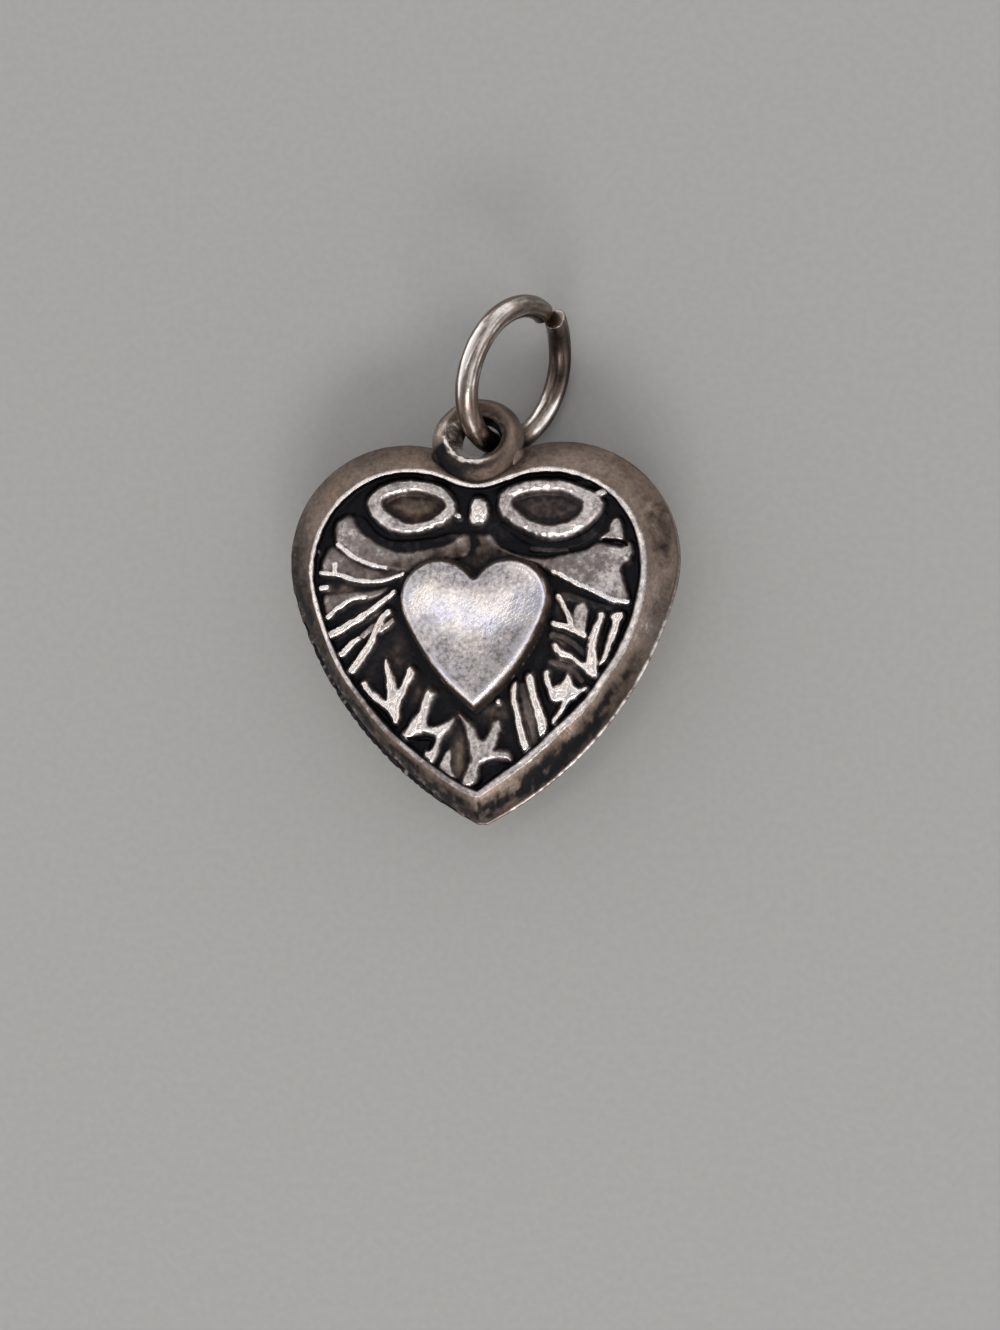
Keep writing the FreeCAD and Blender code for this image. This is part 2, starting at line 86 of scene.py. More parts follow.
# How far in the worn ridge lies, against the share of the way from the point to the cleft
RIGHT_RIDGE_SHARES = (
    (0, 0.95), (0.03, 1.02), (0.14, 1.02), (0.2, 1.02), (0.23, 0.95), (0.27, 0.87), (0.33, 0.88), (0.37, 0.82),
    (0.42, 0.83), (0.46, 0.87), (0.5, 0.96), (0.56, 1.12), (0.62, 1.21), (0.69, 1.24), (0.78, 1.22), (0.84, 1.12),
    (0.89, 0.98), (0.94, 0.88), (1, 1),
)
LEFT_RIDGE_SHARES = (
    (0, 0.95), (0.03, 0.86), (0.13, 0.84), (0.18, 0.8), (0.21, 0.75), (0.31, 0.75), (0.35, 0.7), (0.39, 0.74),
    (0.45, 0.82), (0.5, 0.87), (0.55, 0.99), (0.6, 1.13), (0.66, 1.2), (0.74, 1.2), (0.8, 1.12), (0.86, 1.03),
    (0.93, 0.85), (0.97, 0.95), (1, 1),
)
RIGHT_RIM_WIDTH_SHARES = ((0, 0.2), (0.3, 0.24), (0.55, 0.2), (0.75, 0.1), (1, 0.11))
LEFT_RIM_WIDTH_SHARES = ((0, 0.2), (0.3, 0.16), (0.55, 0.11), (0.75, 0.07), (1, 0.11))

# Bow
LEFT_LOOP_SHARES = (
    (-0.35, 0.778), (-0.4, 0.78), (-0.45, 0.765), (-0.5, 0.745), (-0.545, 0.715), (-0.575, 0.685), (-0.57, 0.65),
    (-0.555, 0.62), (-0.54, 0.59), (-0.51, 0.56), (-0.47, 0.53), (-0.43, 0.515), (-0.37, 0.505), (-0.32, 0.508),
    (-0.27, 0.52), (-0.22, 0.53), (-0.17, 0.55), (-0.14, 0.57), (-0.12, 0.595), (-0.11, 0.62), (-0.11, 0.65),
    (-0.13, 0.68), (-0.145, 0.705), (-0.17, 0.735), (-0.2, 0.755), (-0.27, 0.77),
)
LEFT_HOLE_SHARES = (
    (-0.5, 0.665), (-0.48, 0.69), (-0.44, 0.7), (-0.42, 0.715), (-0.36, 0.725), (-0.3, 0.72), (-0.25, 0.705),
    (-0.21, 0.695), (-0.19, 0.672), (-0.16, 0.652), (-0.15, 0.642), (-0.19, 0.61), (-0.21, 0.59), (-0.24, 0.575),
    (-0.27, 0.56), (-0.32, 0.552), (-0.37, 0.555), (-0.42, 0.58), (-0.46, 0.61), (-0.49, 0.64),
)
RIGHT_LOOP_SHARES = (
    (0.1, 0.71), (0.15, 0.735), (0.2, 0.752), (0.25, 0.765), (0.35, 0.772), (0.45, 0.76), (0.52, 0.735),
    (0.57, 0.705), (0.6, 0.69), (0.63, 0.665), (0.645, 0.64), (0.62, 0.6), (0.59, 0.565), (0.56, 0.53),
    (0.52, 0.505), (0.48, 0.49), (0.43, 0.47), (0.38, 0.468), (0.33, 0.468), (0.28, 0.49), (0.22, 0.515),
    (0.17, 0.545), (0.13, 0.575), (0.11, 0.61), (0.1, 0.65),
)
RIGHT_HOLE_SHARES = (
    (0.16, 0.655), (0.17, 0.685), (0.22, 0.695), (0.27, 0.7), (0.3, 0.71), (0.35, 0.715), (0.4, 0.71), (0.45, 0.7),
    (0.48, 0.685), (0.51, 0.67), (0.53, 0.65), (0.55, 0.617), (0.5, 0.585), (0.48, 0.555), (0.43, 0.54),
    (0.38, 0.532), (0.32, 0.535), (0.27, 0.55), (0.23, 0.585), (0.2, 0.605), (0.17, 0.635),
)
KNOT_SHARES = (
    (-0.01, 0.69), (0.05, 0.66), (0.05, 0.6), (0.04, 0.57), (0.01, 0.55), (-0.03, 0.55), (-0.04, 0.58),
    (-0.035, 0.65),
)
LEFT_BAND_SHARES = (
    (-0.45, 0.46), (-0.38, 0.46), (-0.3, 0.465), (-0.2, 0.48), (-0.1, 0.5), (-0.08, 0.475), (-0.12, 0.45),
    (-0.2, 0.425), (-0.25, 0.41), (-0.33, 0.405), (-0.4, 0.41), (-0.45, 0.425), (-0.5, 0.45), (-0.6, 0.53),
    (-0.62, 0.6), (-0.58, 0.58), (-0.53, 0.5),
)
RIGHT_BAND_SHARES = (
    (0.1, 0.56), (0.18, 0.5), (0.25, 0.45), (0.35, 0.43), (0.45, 0.425), (0.55, 0.45), (0.6, 0.5), (0.65, 0.58),
    (0.63, 0.59), (0.58, 0.525), (0.52, 0.48), (0.43, 0.45), (0.33, 0.45), (0.26, 0.475), (0.18, 0.525),
)
# Ribbon tails
LEFT_TAIL_SHARES = (
    (-0.66, 0.6), (-0.64, 0.56), (-0.61, 0.52), (-0.585, 0.5), (-0.55, 0.48), (-0.53, 0.46), (-0.5, 0.44),
    (-0.46, 0.425), (-0.42, 0.41), (-0.35, 0.405), (-0.22, 0.43), (-0.14, 0.45), (-0.1, 0.48), (-0.06, 0.495),
    (-0.03, 0.47), (-0.05, 0.38), (-0.2, 0.33), (-0.36, 0.3), (-0.42, 0.325), (-0.475, 0.33), (-0.5, 0.335),
    (-0.55, 0.35), (-0.6, 0.37), (-0.64, 0.39), (-0.67, 0.415), (-0.7, 0.44), (-0.725, 0.46), (-0.73, 0.49),
    (-0.735, 0.53), (-0.73, 0.565), (-0.7, 0.585),
)
LOWER_TAIL_SHARES = (
    (-0.74, 0.46), (-0.77, 0.44), (-0.79, 0.4), (-0.8, 0.36), (-0.815, 0.33), (-0.81, 0.31), (-0.77, 0.305),
    (-0.72, 0.3), (-0.68, 0.285), (-0.64, 0.27), (-0.6, 0.262), (-0.5, 0.26), (-0.47, 0.265), (-0.43, 0.28),
    (-0.36, 0.3), (-0.36, 0.35), (-0.45, 0.325), (-0.52, 0.32), (-0.58, 0.345), (-0.64, 0.37), (-0.69, 0.41),
)
FOLD_SHARES = (
    (-0.8, 0.2), (-0.79, 0.12), (-0.78, 0.075), (-0.75, 0.1), (-0.73, 0.125), (-0.7, 0.135), (-0.68, 0.155),
    (-0.65, 0.17), (-0.62, 0.178), (-0.58, 0.18), (-0.5, 0.2), (-0.45, 0.24), (-0.55, 0.205), (-0.65, 0.21),
    (-0.75, 0.19),
)
RIGHT_TAIL_SHARES = (
    (0.06, 0.5), (0.08, 0.45), (0.12, 0.42), (0.2, 0.385), (0.3, 0.37), (0.35, 0.365), (0.4, 0.38), (0.5, 0.395),
    (0.55, 0.41), (0.58, 0.43), (0.61, 0.445), (0.65, 0.43), (0.7, 0.42), (0.73, 0.415), (0.75, 0.44),
    (0.77, 0.44), (0.785, 0.4), (0.77, 0.375), (0.76, 0.355), (0.73, 0.345), (0.715, 0.31), (0.72, 0.28),
    (0.73, 0.25), (0.745, 0.2), (0.76, 0.165), (0.755, 0.145), (0.72, 0.143), (0.68, 0.152), (0.63, 0.175),
    (0.6, 0.19), (0.55, 0.215), (0.5, 0.235), (0.46, 0.255), (0.42, 0.28), (0.38, 0.297), (0.3, 0.335),
    (0.16, 0.395), (0.07, 0.44), (0.03, 0.48),
)
TAIL_TIP_SHARES = (
    (0.7, 0.57), (0.715, 0.56), (0.725, 0.52), (0.73, 0.46), (0.72, 0.455), (0.65, 0.475), (0.61, 0.463),
    (0.65, 0.49), (0.665, 0.5), (0.67, 0.55),
)
UNDER_TAIL_SHARES = (
    (0.42, 0.2), (0.5, 0.18), (0.56, 0.155), (0.65, 0.13), (0.72, 0.13), (0.7, 0.115), (0.6, 0.125), (0.5, 0.155),
    (0.42, 0.175),
)
YOKE_SHARES = (
    (-0.44, 0.4), (-0.35, 0.4), (-0.22, 0.42), (-0.14, 0.44), (-0.06, 0.49), (-0.02, 0.5), (0.04, 0.48), (0.06, 0.49),
    (0.1, 0.43), (0.2, 0.385), (0.32, 0.36), (0.3, 0.2), (0, 0.2), (-0.3, 0.2), (-0.42, 0.27),
)
# Leaf sprays
UPPER_LEFT_SPRAY_SHARES = (
    (-0.6, -0.25), (-0.59, -0.28), (-0.56, -0.31), (-0.53, -0.34), (-0.5, -0.355), (-0.47, -0.38), (-0.45, -0.4),
    (-0.435, -0.43), (-0.43, -0.45), (-0.405, -0.45), (-0.4, -0.38), (-0.39, -0.34), (-0.37, -0.3),
    (-0.36, -0.26), (-0.345, -0.235), (-0.33, -0.22), (-0.32, -0.19), (-0.335, -0.17), (-0.355, -0.165),
    (-0.37, -0.22), (-0.4, -0.285), (-0.415, -0.27), (-0.42, -0.24), (-0.435, -0.21), (-0.45, -0.16),
    (-0.47, -0.12), (-0.475, -0.16), (-0.47, -0.22), (-0.465, -0.27), (-0.46, -0.345), (-0.49, -0.325),
    (-0.52, -0.3), (-0.55, -0.28), (-0.57, -0.235),
)
LOWER_LEFT_SPRAY_SHARES = (
    (-0.27, -0.3), (-0.25, -0.275), (-0.215, -0.3), (-0.23, -0.32), (-0.245, -0.37), (-0.26, -0.42),
    (-0.265, -0.45), (-0.25, -0.47), (-0.22, -0.47), (-0.18, -0.46), (-0.14, -0.44), (-0.115, -0.42),
    (-0.13, -0.46), (-0.15, -0.49), (-0.18, -0.52), (-0.195, -0.55), (-0.2, -0.59), (-0.22, -0.63),
    (-0.235, -0.66), (-0.25, -0.63), (-0.275, -0.615), (-0.26, -0.59), (-0.235, -0.585), (-0.21, -0.55),
    (-0.21, -0.52), (-0.235, -0.505), (-0.27, -0.5), (-0.3, -0.505), (-0.33, -0.52), (-0.365, -0.54),
    (-0.395, -0.51), (-0.37, -0.49), (-0.35, -0.46), (-0.33, -0.43), (-0.3, -0.4), (-0.29, -0.36),
    (-0.28, -0.33),
)
LOW_STROKE_SHARES = (
    (-0.2, -0.68), (-0.165, -0.6), (-0.14, -0.58), (-0.145, -0.63), (-0.14, -0.68), (-0.12, -0.72),
    (-0.1, -0.75), (-0.14, -0.745), (-0.17, -0.72),
)
BOTTOM_LEAF_SHARES = (
    (-0.1, -0.4), (-0.08, -0.43), (-0.06, -0.47), (-0.055, -0.5), (-0.045, -0.55), (-0.04, -0.6),
    (-0.035, -0.63), (-0.045, -0.67), (-0.065, -0.71), (-0.085, -0.76), (-0.05, -0.775), (0, -0.74),
    (0.005, -0.66), (0.02, -0.65), (0.05, -0.635), (0.07, -0.63), (0.15, -0.635), (0.175, -0.64), (0.165, -0.61),
    (0.15, -0.59), (0.1, -0.585), (0.075, -0.59), (0.085, -0.57), (0.095, -0.53), (0.1, -0.5), (0.12, -0.48),
    (0.11, -0.44), (0.08, -0.435), (0.07, -0.47), (0.06, -0.5), (0.045, -0.52), (0.03, -0.54), (0.005, -0.535),
    (-0.01, -0.51), (-0.02, -0.48), (-0.035, -0.455), (-0.06, -0.435),
)
FIRST_BLADE_SHARES = (
    (0.17, -0.265), (0.195, -0.24), (0.19, -0.3), (0.2, -0.36), (0.21, -0.4), (0.22, -0.45), (0.235, -0.5),
    (0.25, -0.55), (0.265, -0.57), (0.235, -0.595), (0.225, -0.59), (0.215, -0.54), (0.2, -0.48), (0.19, -0.42),
    (0.175, -0.36), (0.168, -0.3),
)
SECOND_BLADE_SHARES = (
    (0.24, -0.205), (0.275, -0.205), (0.28, -0.25), (0.295, -0.3), (0.31, -0.35), (0.325, -0.4), (0.345, -0.45),
    (0.35, -0.48), (0.34, -0.5), (0.32, -0.52), (0.31, -0.51), (0.305, -0.47), (0.295, -0.42), (0.275, -0.36),
    (0.26, -0.3), (0.25, -0.25),
)
LOWER_RIGHT_SPRAY_SHARES = (
    (0.335, -0.19), (0.36, -0.19), (0.355, -0.22), (0.365, -0.25), (0.375, -0.28), (0.4, -0.26), (0.43, -0.245),
    (0.445, -0.21), (0.455, -0.205), (0.465, -0.22), (0.47, -0.25), (0.49, -0.28), (0.51, -0.285),
    (0.54, -0.275), (0.555, -0.28), (0.53, -0.295), (0.51, -0.31), (0.49, -0.33), (0.465, -0.345), (0.45, -0.36),
    (0.44, -0.38), (0.43, -0.4), (0.4, -0.43), (0.39, -0.455), (0.375, -0.455), (0.38, -0.43), (0.4, -0.4),
    (0.42, -0.365), (0.43, -0.34), (0.41, -0.345), (0.385, -0.345), (0.365, -0.33), (0.355, -0.29),
    (0.34, -0.25), (0.33, -0.21),
)
UPPER_RIGHT_SPRAY_SHARES = (
    (0.375, -0.055), (0.395, -0.055), (0.41, -0.08), (0.44, -0.1), (0.47, -0.11), (0.5, -0.135), (0.53, -0.155),
    (0.548, -0.15), (0.548, -0.12), (0.555, -0.08), (0.56, -0.04), (0.575, 0), (0.59, 0.04), (0.605, 0.06),
    (0.6, 0.1), (0.64, 0.095), (0.625, 0.05), (0.61, 0), (0.595, -0.05), (0.59, -0.1), (0.6, -0.15),
    (0.6, -0.19), (0.605, -0.215), (0.585, -0.23), (0.56, -0.21), (0.53, -0.18), (0.5, -0.155), (0.47, -0.13),
    (0.42, -0.13), (0.395, -0.105), (0.38, -0.07),
)
BAR_SHARES = (
    (0.665, 0.09), (0.74, 0.095), (0.71, 0.03), (0.7, 0), (0.68, -0.05), (0.665, -0.1), (0.65, -0.14),
    (0.62, -0.16), (0.615, -0.15), (0.635, -0.12), (0.64, -0.08), (0.65, -0.05), (0.66, 0), (0.68, 0.05),
)
SMALL_LEAF_SHARES = (
    (0.49, 0.13), (0.53, 0.15), (0.555, 0.115), (0.54, 0.06), (0.535, -0.015), (0.48, 0.005), (0.46, 0.03),
    (0.48, 0.07), (0.485, 0.1),
)

# Outlines that are evened out before their corners are cut
EVENED_SHARES = (LEFT_LOOP_SHARES, LEFT_HOLE_SHARES, RIGHT_LOOP_SHARES, RIGHT_HOLE_SHARES, LOWER_TAIL_SHARES)

# Areas of the relief: outline, opening, height in mm, rounding in mm, shine, warmth
AREAS = (
    (LEFT_BAND_SHARES, None, 0.12, 0.12, 0.02, 0.1),
    (RIGHT_BAND_SHARES, None, 0.12, 0.12, 0.02, 0.1),
    (UNDER_TAIL_SHARES, None, 0.1, 0.1, 0.12, 0.3),
    (YOKE_SHARES, None, 0.15, 0.3, 0.24, 0.85),
    (LOWER_TAIL_SHARES, None, 0.16, 0.3, 0.36, 0.2),
    (FOLD_SHARES, None, 0.16, 0.25, 0.38, 0.25),
    (LEFT_TAIL_SHARES, None, 0.24, 0.3, 0.43, 0.18),
    (RIGHT_TAIL_SHARES, None, 0.26, 0.3, 0.46, 0.12),
    (TAIL_TIP_SHARES, None, 0.22, 0.2, 0.6, 0.1),
    (LEFT_LOOP_SHARES, LEFT_HOLE_SHARES, 0.36, 0.26, 0.61, 0.1),
    (RIGHT_LOOP_SHARES, RIGHT_HOLE_SHARES, 0.36, 0.3, 0.61, 0.1),
    (KNOT_SHARES, None, 0.33, 0.28, 0.8, 0.1),
    (UPPER_LEFT_SPRAY_SHARES, None, 0.34, 0.22, 0.9, 0.12),
    (LOWER_LEFT_SPRAY_SHARES, None, 0.34, 0.3, 0.76, 0.12),
    (LOW_STROKE_SHARES, None, 0.22, 0.2, 0.62, 0.12),
    (BOTTOM_LEAF_SHARES, None, 0.32, 0.3, 0.56, 0.1),
    (FIRST_BLADE_SHARES, None, 0.32, 0.19, 0.9, 0.12),
    (SECOND_BLADE_SHARES, None, 0.32, 0.19, 0.9, 0.12),
    (LOWER_RIGHT_SPRAY_SHARES, None, 0.34, 0.22, 1.02, 0.08),
    (UPPER_RIGHT_SPRAY_SHARES, None, 0.34, 0.22, 1, 0.1),
    (BAR_SHARES, None, 0.34, 0.2, 0.96, 0.12),
    (SMALL_LEAF_SHARES, None, 0.22, 0.2, 0.6, 0.15),
)
UNDER_AREAS = 3  # so many of them are raised before the floors inside the loops

# Strokes of the relief: line, first and last width in mm, height in mm, shine, warmth
STROKE_SHARES = (
    (((-0.75, 0), (-0.7, 0.02), (-0.67, 0.045), (-0.63, 0.065), (-0.6, 0.085), (-0.57, 0.105), (-0.53, 0.13),
      (-0.5, 0.155), (-0.48, 0.17), (-0.43, 0.21)), 0.21, 0.1, 0.28, 0.85, 0.15),
    (((-0.7, -0.1), (-0.66, -0.065), (-0.64, -0.04), (-0.61, -0.02)), 0.18, 0.1, 0.26, 0.8, 0.15),
    (((-0.61, -0.02), (-0.57, 0.01), (-0.52, 0.05)), 0.1, 0.08, 0.14, 0.5, 0.2),
    (((-0.65, -0.185), (-0.61, -0.14), (-0.58, -0.09), (-0.555, -0.06), (-0.53, -0.01), (-0.52, 0.02),
      (-0.5, 0.06), (-0.48, 0.09), (-0.455, 0.11)), 0.22, 0.14, 0.28, 0.85, 0.15),
    (((-0.55, -0.03), (-0.5, 0.02), (-0.46, 0.05), (-0.44, 0.07)), 0.1, 0.08, 0.18, 0.6, 0.2),
    (((-0.72, 0.455), (-0.7, 0.44), (-0.67, 0.415), (-0.64, 0.392), (-0.6, 0.372), (-0.55, 0.353),
      (-0.5, 0.338), (-0.47, 0.335)), 0.05, 0.03, 0.28, 0.95, 0.05),
    (((-0.81, 0.315), (-0.77, 0.31), (-0.72, 0.304), (-0.68, 0.29), (-0.64, 0.275), (-0.6, 0.267),
      (-0.5, 0.265), (-0.43, 0.285), (-0.38, 0.305)), 0.05, 0.02, 0.24, 0.95, 0.05),
    (((-0.775, 0.085), (-0.75, 0.105), (-0.73, 0.13), (-0.7, 0.14), (-0.68, 0.16), (-0.65, 0.174),
      (-0.62, 0.183), (-0.58, 0.187)), 0.06, 0.02, 0.24, 0.95, 0.05),
    (((-0.735, 0.355), (-0.74, 0.32)), 0.08, 0.08, 0.25, 0.9, 0.05),
    (((-0.81, 0.235), (-0.78, 0.24)), 0.1, 0.08, 0.18, 0.9, 0.05),
    (((0.755, 0.15), (0.72, 0.148), (0.68, 0.157), (0.63, 0.18), (0.6, 0.195), (0.55, 0.22), (0.5, 0.24),
      (0.46, 0.26), (0.42, 0.285), (0.38, 0.302)), 0.08, 0.04, 0.31, 0.97, 0.05),
    (((0.27, 0.42), (0.36, 0.413), (0.45, 0.415)), 0.06, 0.05, 0.12, 0.12, 0.1),
    (((0.405, 0.18), (0.43, 0.135), (0.455, 0.09), (0.465, 0.05), (0.47, 0.02)), 0.1, 0.1, 0.28, 0.8, 0.15),
    (((0.38, 0.045), (0.41, 0.035), (0.45, 0.03), (0.48, 0.01), (0.535, -0.015)), 0.12, 0.1, 0.28, 0.85, 0.1),
    (((0.37, -0.01), (0.43, -0.02), (0.5, -0.07), (0.54, -0.12)), 0.12, 0.1, 0.1, 0.2, 0.2),
    (((0.37, -0.145), (0.43, -0.16), (0.48, -0.19), (0.52, -0.24)), 0.12, 0.1, 0.1, 0.2, 0.2),
    (((0.22, -0.27), (0.235, -0.35), (0.255, -0.43), (0.28, -0.5), (0.285, -0.55)), 0.2, 0.2, 0.1, 0.3, 0.45),
    (((-0.27, 0.8), (-0.22, 0.8)), 0.14, 0.14, 0.12, 0.45, 0.2),
    (((-0.1, 0.59), (-0.1, 0.592)), 0.1, 0.1, 0.2, 0.9, 0.1),
    (((-0.83, 0.425), (-0.83, 0.427)), 0.1, 0.1, 0.15, 0.9, 0.1),
    (((0.1, -0.34), (0.1, -0.342)), 0.1, 0.1, 0.15, 0.8, 0.1),
    (((0.61, 0.69), (0.65, 0.71)), 0.2, 0.2, 0.25, 0.75, 0.4),
    (((0.5, 0.75), (0.56, 0.75)), 0.1, 0.1, 0.12, 0.5, 0.5),
)
# Cuts into the relief: line, width in mm, depth in mm
CUT_SHARES = (
    (((-0.35, -0.53), (-0.29, -0.525), (-0.22, -0.53), (-0.25, -0.58)), 0.16, 0.16),
    (((0.63, 0.46), (0.73, 0.455), (0.75, 0.43)), 0.1, 0.2),
    (((-0.655, 0.62), (-0.64, 0.61)), 0.1, 0.1),
)

# Places where the floor of the field is less black: middle, reach, added shine and warmth
FIELD_TINT_SHARES = (
    (-0.095, -0.58, 0.035, 0.09, 0.2, 0.75), (0.26, -0.42, 0.035, 0.13, 0.2, 0.5), (0.08, -0.4, 0.07, 0.05, 0.16, 0.6),
    (-0.41, -0.13, 0.04, 0.1, 0.1, 0.6), (0.42, 0.12, 0.04, 0.07, 0.1, 0.1), (0.6, -0.02, 0.02, 0.12, 0.12, 0.5),
    (0.42, -0.05, 0.06, 0.05, 0.1, 0.6), (0.45, -0.17, 0.06, 0.03, 0.1, 0.6), (-0.3, -0.3, 0.05, 0.05, 0.08, 0.6),
    (-0.55, 0.1, 0.1, 0.05, 0.08, 0.3), (-0.1, -0.68, 0.04, 0.05, 0.14, 0.5), (-0.7, 0.23, 0.08, 0.03, 0.12, 0.8),
)
# Places where the relief is painted darker or brighter, as painted shade and light across the tails' pleats, the knot
# and the tops of the loops: the same values
RELIEF_PAINTED_SHADING_SHARES = (
    (-0.14, 0.4, 0.12, 0.045, -0.2, 0.5), (-0.03, 0.47, 0.035, 0.05, -0.22, 0.6), (-0.4, 0.35, 0.14, 0.03, -0.16, 0.15),
    (-0.62, 0.335, 0.1, 0.035, -0.14, 0.1), (-0.48, 0.3, 0.12, 0.02, -0.16, 0.2), (-0.78, 0.35, 0.03, 0.04, 0.2, 0),
    (-0.66, 0.5, 0.05, 0.05, 0.08, 0), (0.2, 0.41, 0.12, 0.04, -0.22, 0.3), (0.4, 0.36, 0.1, 0.05, -0.1, 0.1),
    (0.64, 0.24, 0.08, 0.06, 0.14, -0.1), (0.7, 0.4, 0.05, 0.03, 0.1, 0), (0.5, 0.42, 0.1, 0.02, -0.15, 0.1),
    (-0.35, 0.76, 0.16, 0.025, -0.16, 0.15), (0.35, 0.765, 0.2, 0.02, -0.14, 0.15),
    (-0.555, 0.65, 0.02, 0.06, -0.12, 0.1), (-0.7, 0.13, 0.06, 0.03, -0.1, 0.3), (-0.79, 0.13, 0.02, 0.05, 0.25, -0.1),
    (-0.06, -0.66, 0.03, 0.08, -0.1, 0.1), (0, 0.66, 0.05, 0.03, -0.3, 0.1),
)

# Boss, in mm: its places, and its height as a share against how deep inside its edge
BOSS_SHIFT = -0.08
BOSS_FOOT = 3.32
BOSS_TOP = 4.37
BOSS_OUT = 0.12
BOSS_PROFILE = (
    (0, 0), (0.03, 0.26), (0.07, 0.46), (0.13, 0.65), (0.2, 0.78), (0.28, 0.85), (0.38, 0.885), (0.55, 0.91),
    (0.85, 0.945), (1.3, 0.98), (1.9, 1),
)

# Rim of the front: rings as inset and level in mm, and how far each follows the sunken foot
LINING = ((0.825, 2.97), (0.4, 2.4), (0.12, 2.4))
FOOT_RINGS = ((0.05, 2.46, 0.9), (0, 2.52, 1), (0, 2.64, 1), (0, 2.77, 1))
BEVEL_SHARES = (0.04, 0.1, 0.18, 0.27, 0.36, 0.45, 0.54, 0.63, 0.72, 0.8, 0.87, 0.93, 0.97, 1)
# Rings of the ridge's inner wall, as shares of the ridge's width
WALL_SHARES = (0.2, 0.4, 0.6, 0.8, 0.95, 1.1, 1.25, 1.4, 1.6)
# How far in the bevel's foot is sunk, in mm
LEFT_SUNK_SHARES = ((0, 0.03), (0.06, 0.11), (0.14, 0.18), (0.42, 0.18), (0.52, 0.1), (0.66, 0.03), (1, 0))
RIGHT_SUNK_SHARES = ((0, 0.03), (0.06, 0.07), (0.5, 0.07), (0.6, 0.03), (0.75, 0), (1, 0))
# Marks on the bevel: place, reach, how black its streaks are and how much paler it is
RIM_MARKS_SHARES = (
    (0.1, -0.9, 0.08, 0.9, 0), (0.2, -0.83, 0.09, 1, -0.06), (0.32, -0.73, 0.1, 0.9, -0.12),
    (0.44, -0.62, 0.1, 0.8, -0.14), (0.56, -0.49, 0.1, 0.6, -0.13), (0.67, -0.35, 0.1, 0.4, -0.1),
    (0.76, -0.22, 0.1, 0.3, -0.06),
    (0.94, 0.45, 0.12, 0.4, 0.02), (0.9, 0.65, 0.1, 0.4, 0), (0.97, 0.1, 0.2, 0.2, 0.06),
    (0.03, -0.95, 0.05, 0.4, 0.06), (-0.13, -0.87, 0.12, 0.3, -0.14),
    (-0.3, -0.75, 0.2, 0.3, -0.14), (-0.6, -0.45, 0.22, 0.3, -0.16), (-0.85, -0.05, 0.22, 0.2, -0.22),
    (-0.95, 0.3, 0.2, 0.2, -0.2), (-0.2, 0.88, 0.1, 0.5, 0), (0.25, 0.95, 0.08, 0.5, 0),
)
# Shine of the ridge's crest
RIGHT_CREST_SHARES = ((0, 0.6), (0.15, 0.76), (0.3, 0.74), (0.6, 0.72), (0.8, 0.84), (1, 0.84))
LEFT_CREST_SHARES = ((0, 0.52), (0.1, 0.48), (0.3, 0.54), (0.4, 0.8), (0.6, 0.9), (1, 0.88))
# Section of the bead: inset and level in mm, and how far it follows the sunken foot
BEAD_SECTION = (
    (0.02, 2.29, 0), (-0.022, 2.33, 0), (-0.036, 2.37, 0), (-0.04, 2.4, 0), (-0.036, 2.43, 0), (-0.022, 2.47, 0.2),
    (0.02, 2.51, 1), (0.1, 2.42, 1), (0.1, 2.38, 0),
)

# Back, as inset and level in mm
BACK_PROFILE = (
    (0, 2.28), (0.03, 2.05), (0.09, 1.82), (0.21, 1.596), (0.38, 1.31), (0.57, 1.05), (0.77, 0.821), (1.06, 0.57),
    (1.41, 0.37), (1.82, 0.228), (2.35, 0.1), (2.9, 0.03), (3.5, 0),
)
BACK_LINING = ((3.6, 0.4), (2.0, 0.6), (1.15, 1.08), (0.65, 1.74), (0.4, SEAM_LEVEL), (0.12, SEAM_LEVEL))
POINT_REACH = 8  # steps over which the heart's point is worn round

# Eye, in mm and degrees
EYE_CENTRE = (-0.08, 7.1, 3.2)
EYE_HOLE = 0.92
EYE_WIDTH = 0.78
EYE_LEAN = 20
EYE_RINGS = 240
EYE_CURVE_STEPS = 7
# Its section: shares of its width out from the hole, and mm to the front
EYE_SECTION_SHARES = (
    (0.14, 0.3), (0.4, 0.46), (0.64, 0.38), (0.86, 0.13), (1, -0.12), (0.86, -0.4), (0.5, -0.5),
)
# Its throat, against degrees from the right: radius at its middle and at its back
EYE_THROAT = (
    (0, 0.88, 0.9), (60, 0.86, 0.86), (120, 0.76, 0.74), (150, 0.7, 0.66), (180, 0.68, 0.63), (210, 0.77, 0.61),
    (240, 0.84, 0.6), (270, 0.77, 0.53), (300, 0.72, 0.5), (330, 0.78, 0.68), (360, 0.88, 0.9),
)
# Shine round the eye, against degrees from the right: its lip and its outside
EYE_LIP_SHINE = (
    (0, 0.8), (60, 0.7), (90, 0.85), (130, 0.6), (180, 0.6), (200, 0.95), (240, 1.15), (300, 1.05), (360, 0.8),
)
EYE_SIDE_SHINE = (
    (0, 0.36), (90, 0.33), (150, 0.38), (178, 0.55), (190, 0.5), (200, 0.04), (250, 0.05), (280, 0.12), (310, 0.26),
    (360, 0.36),
)
# Where its lip is worn most, in degrees, how far that reaches, and how it moves the section's first points
WORN_EYE_ANGLE = 230
WORN_EYE_REACH = 62
WORN_EYE_SHARES = ((0, 0.1), (-0.08, -0.02), (0, -0.05))

# Lumps of solder at the eye
SOLDER_RADIUS = 0.55
SOLDER_PLACES = ((-1.28, 6.4, 3.05), (1.12, 6.4, 3.05))
SOLDER_ROWS, SOLDER_COLUMNS = 24, 48

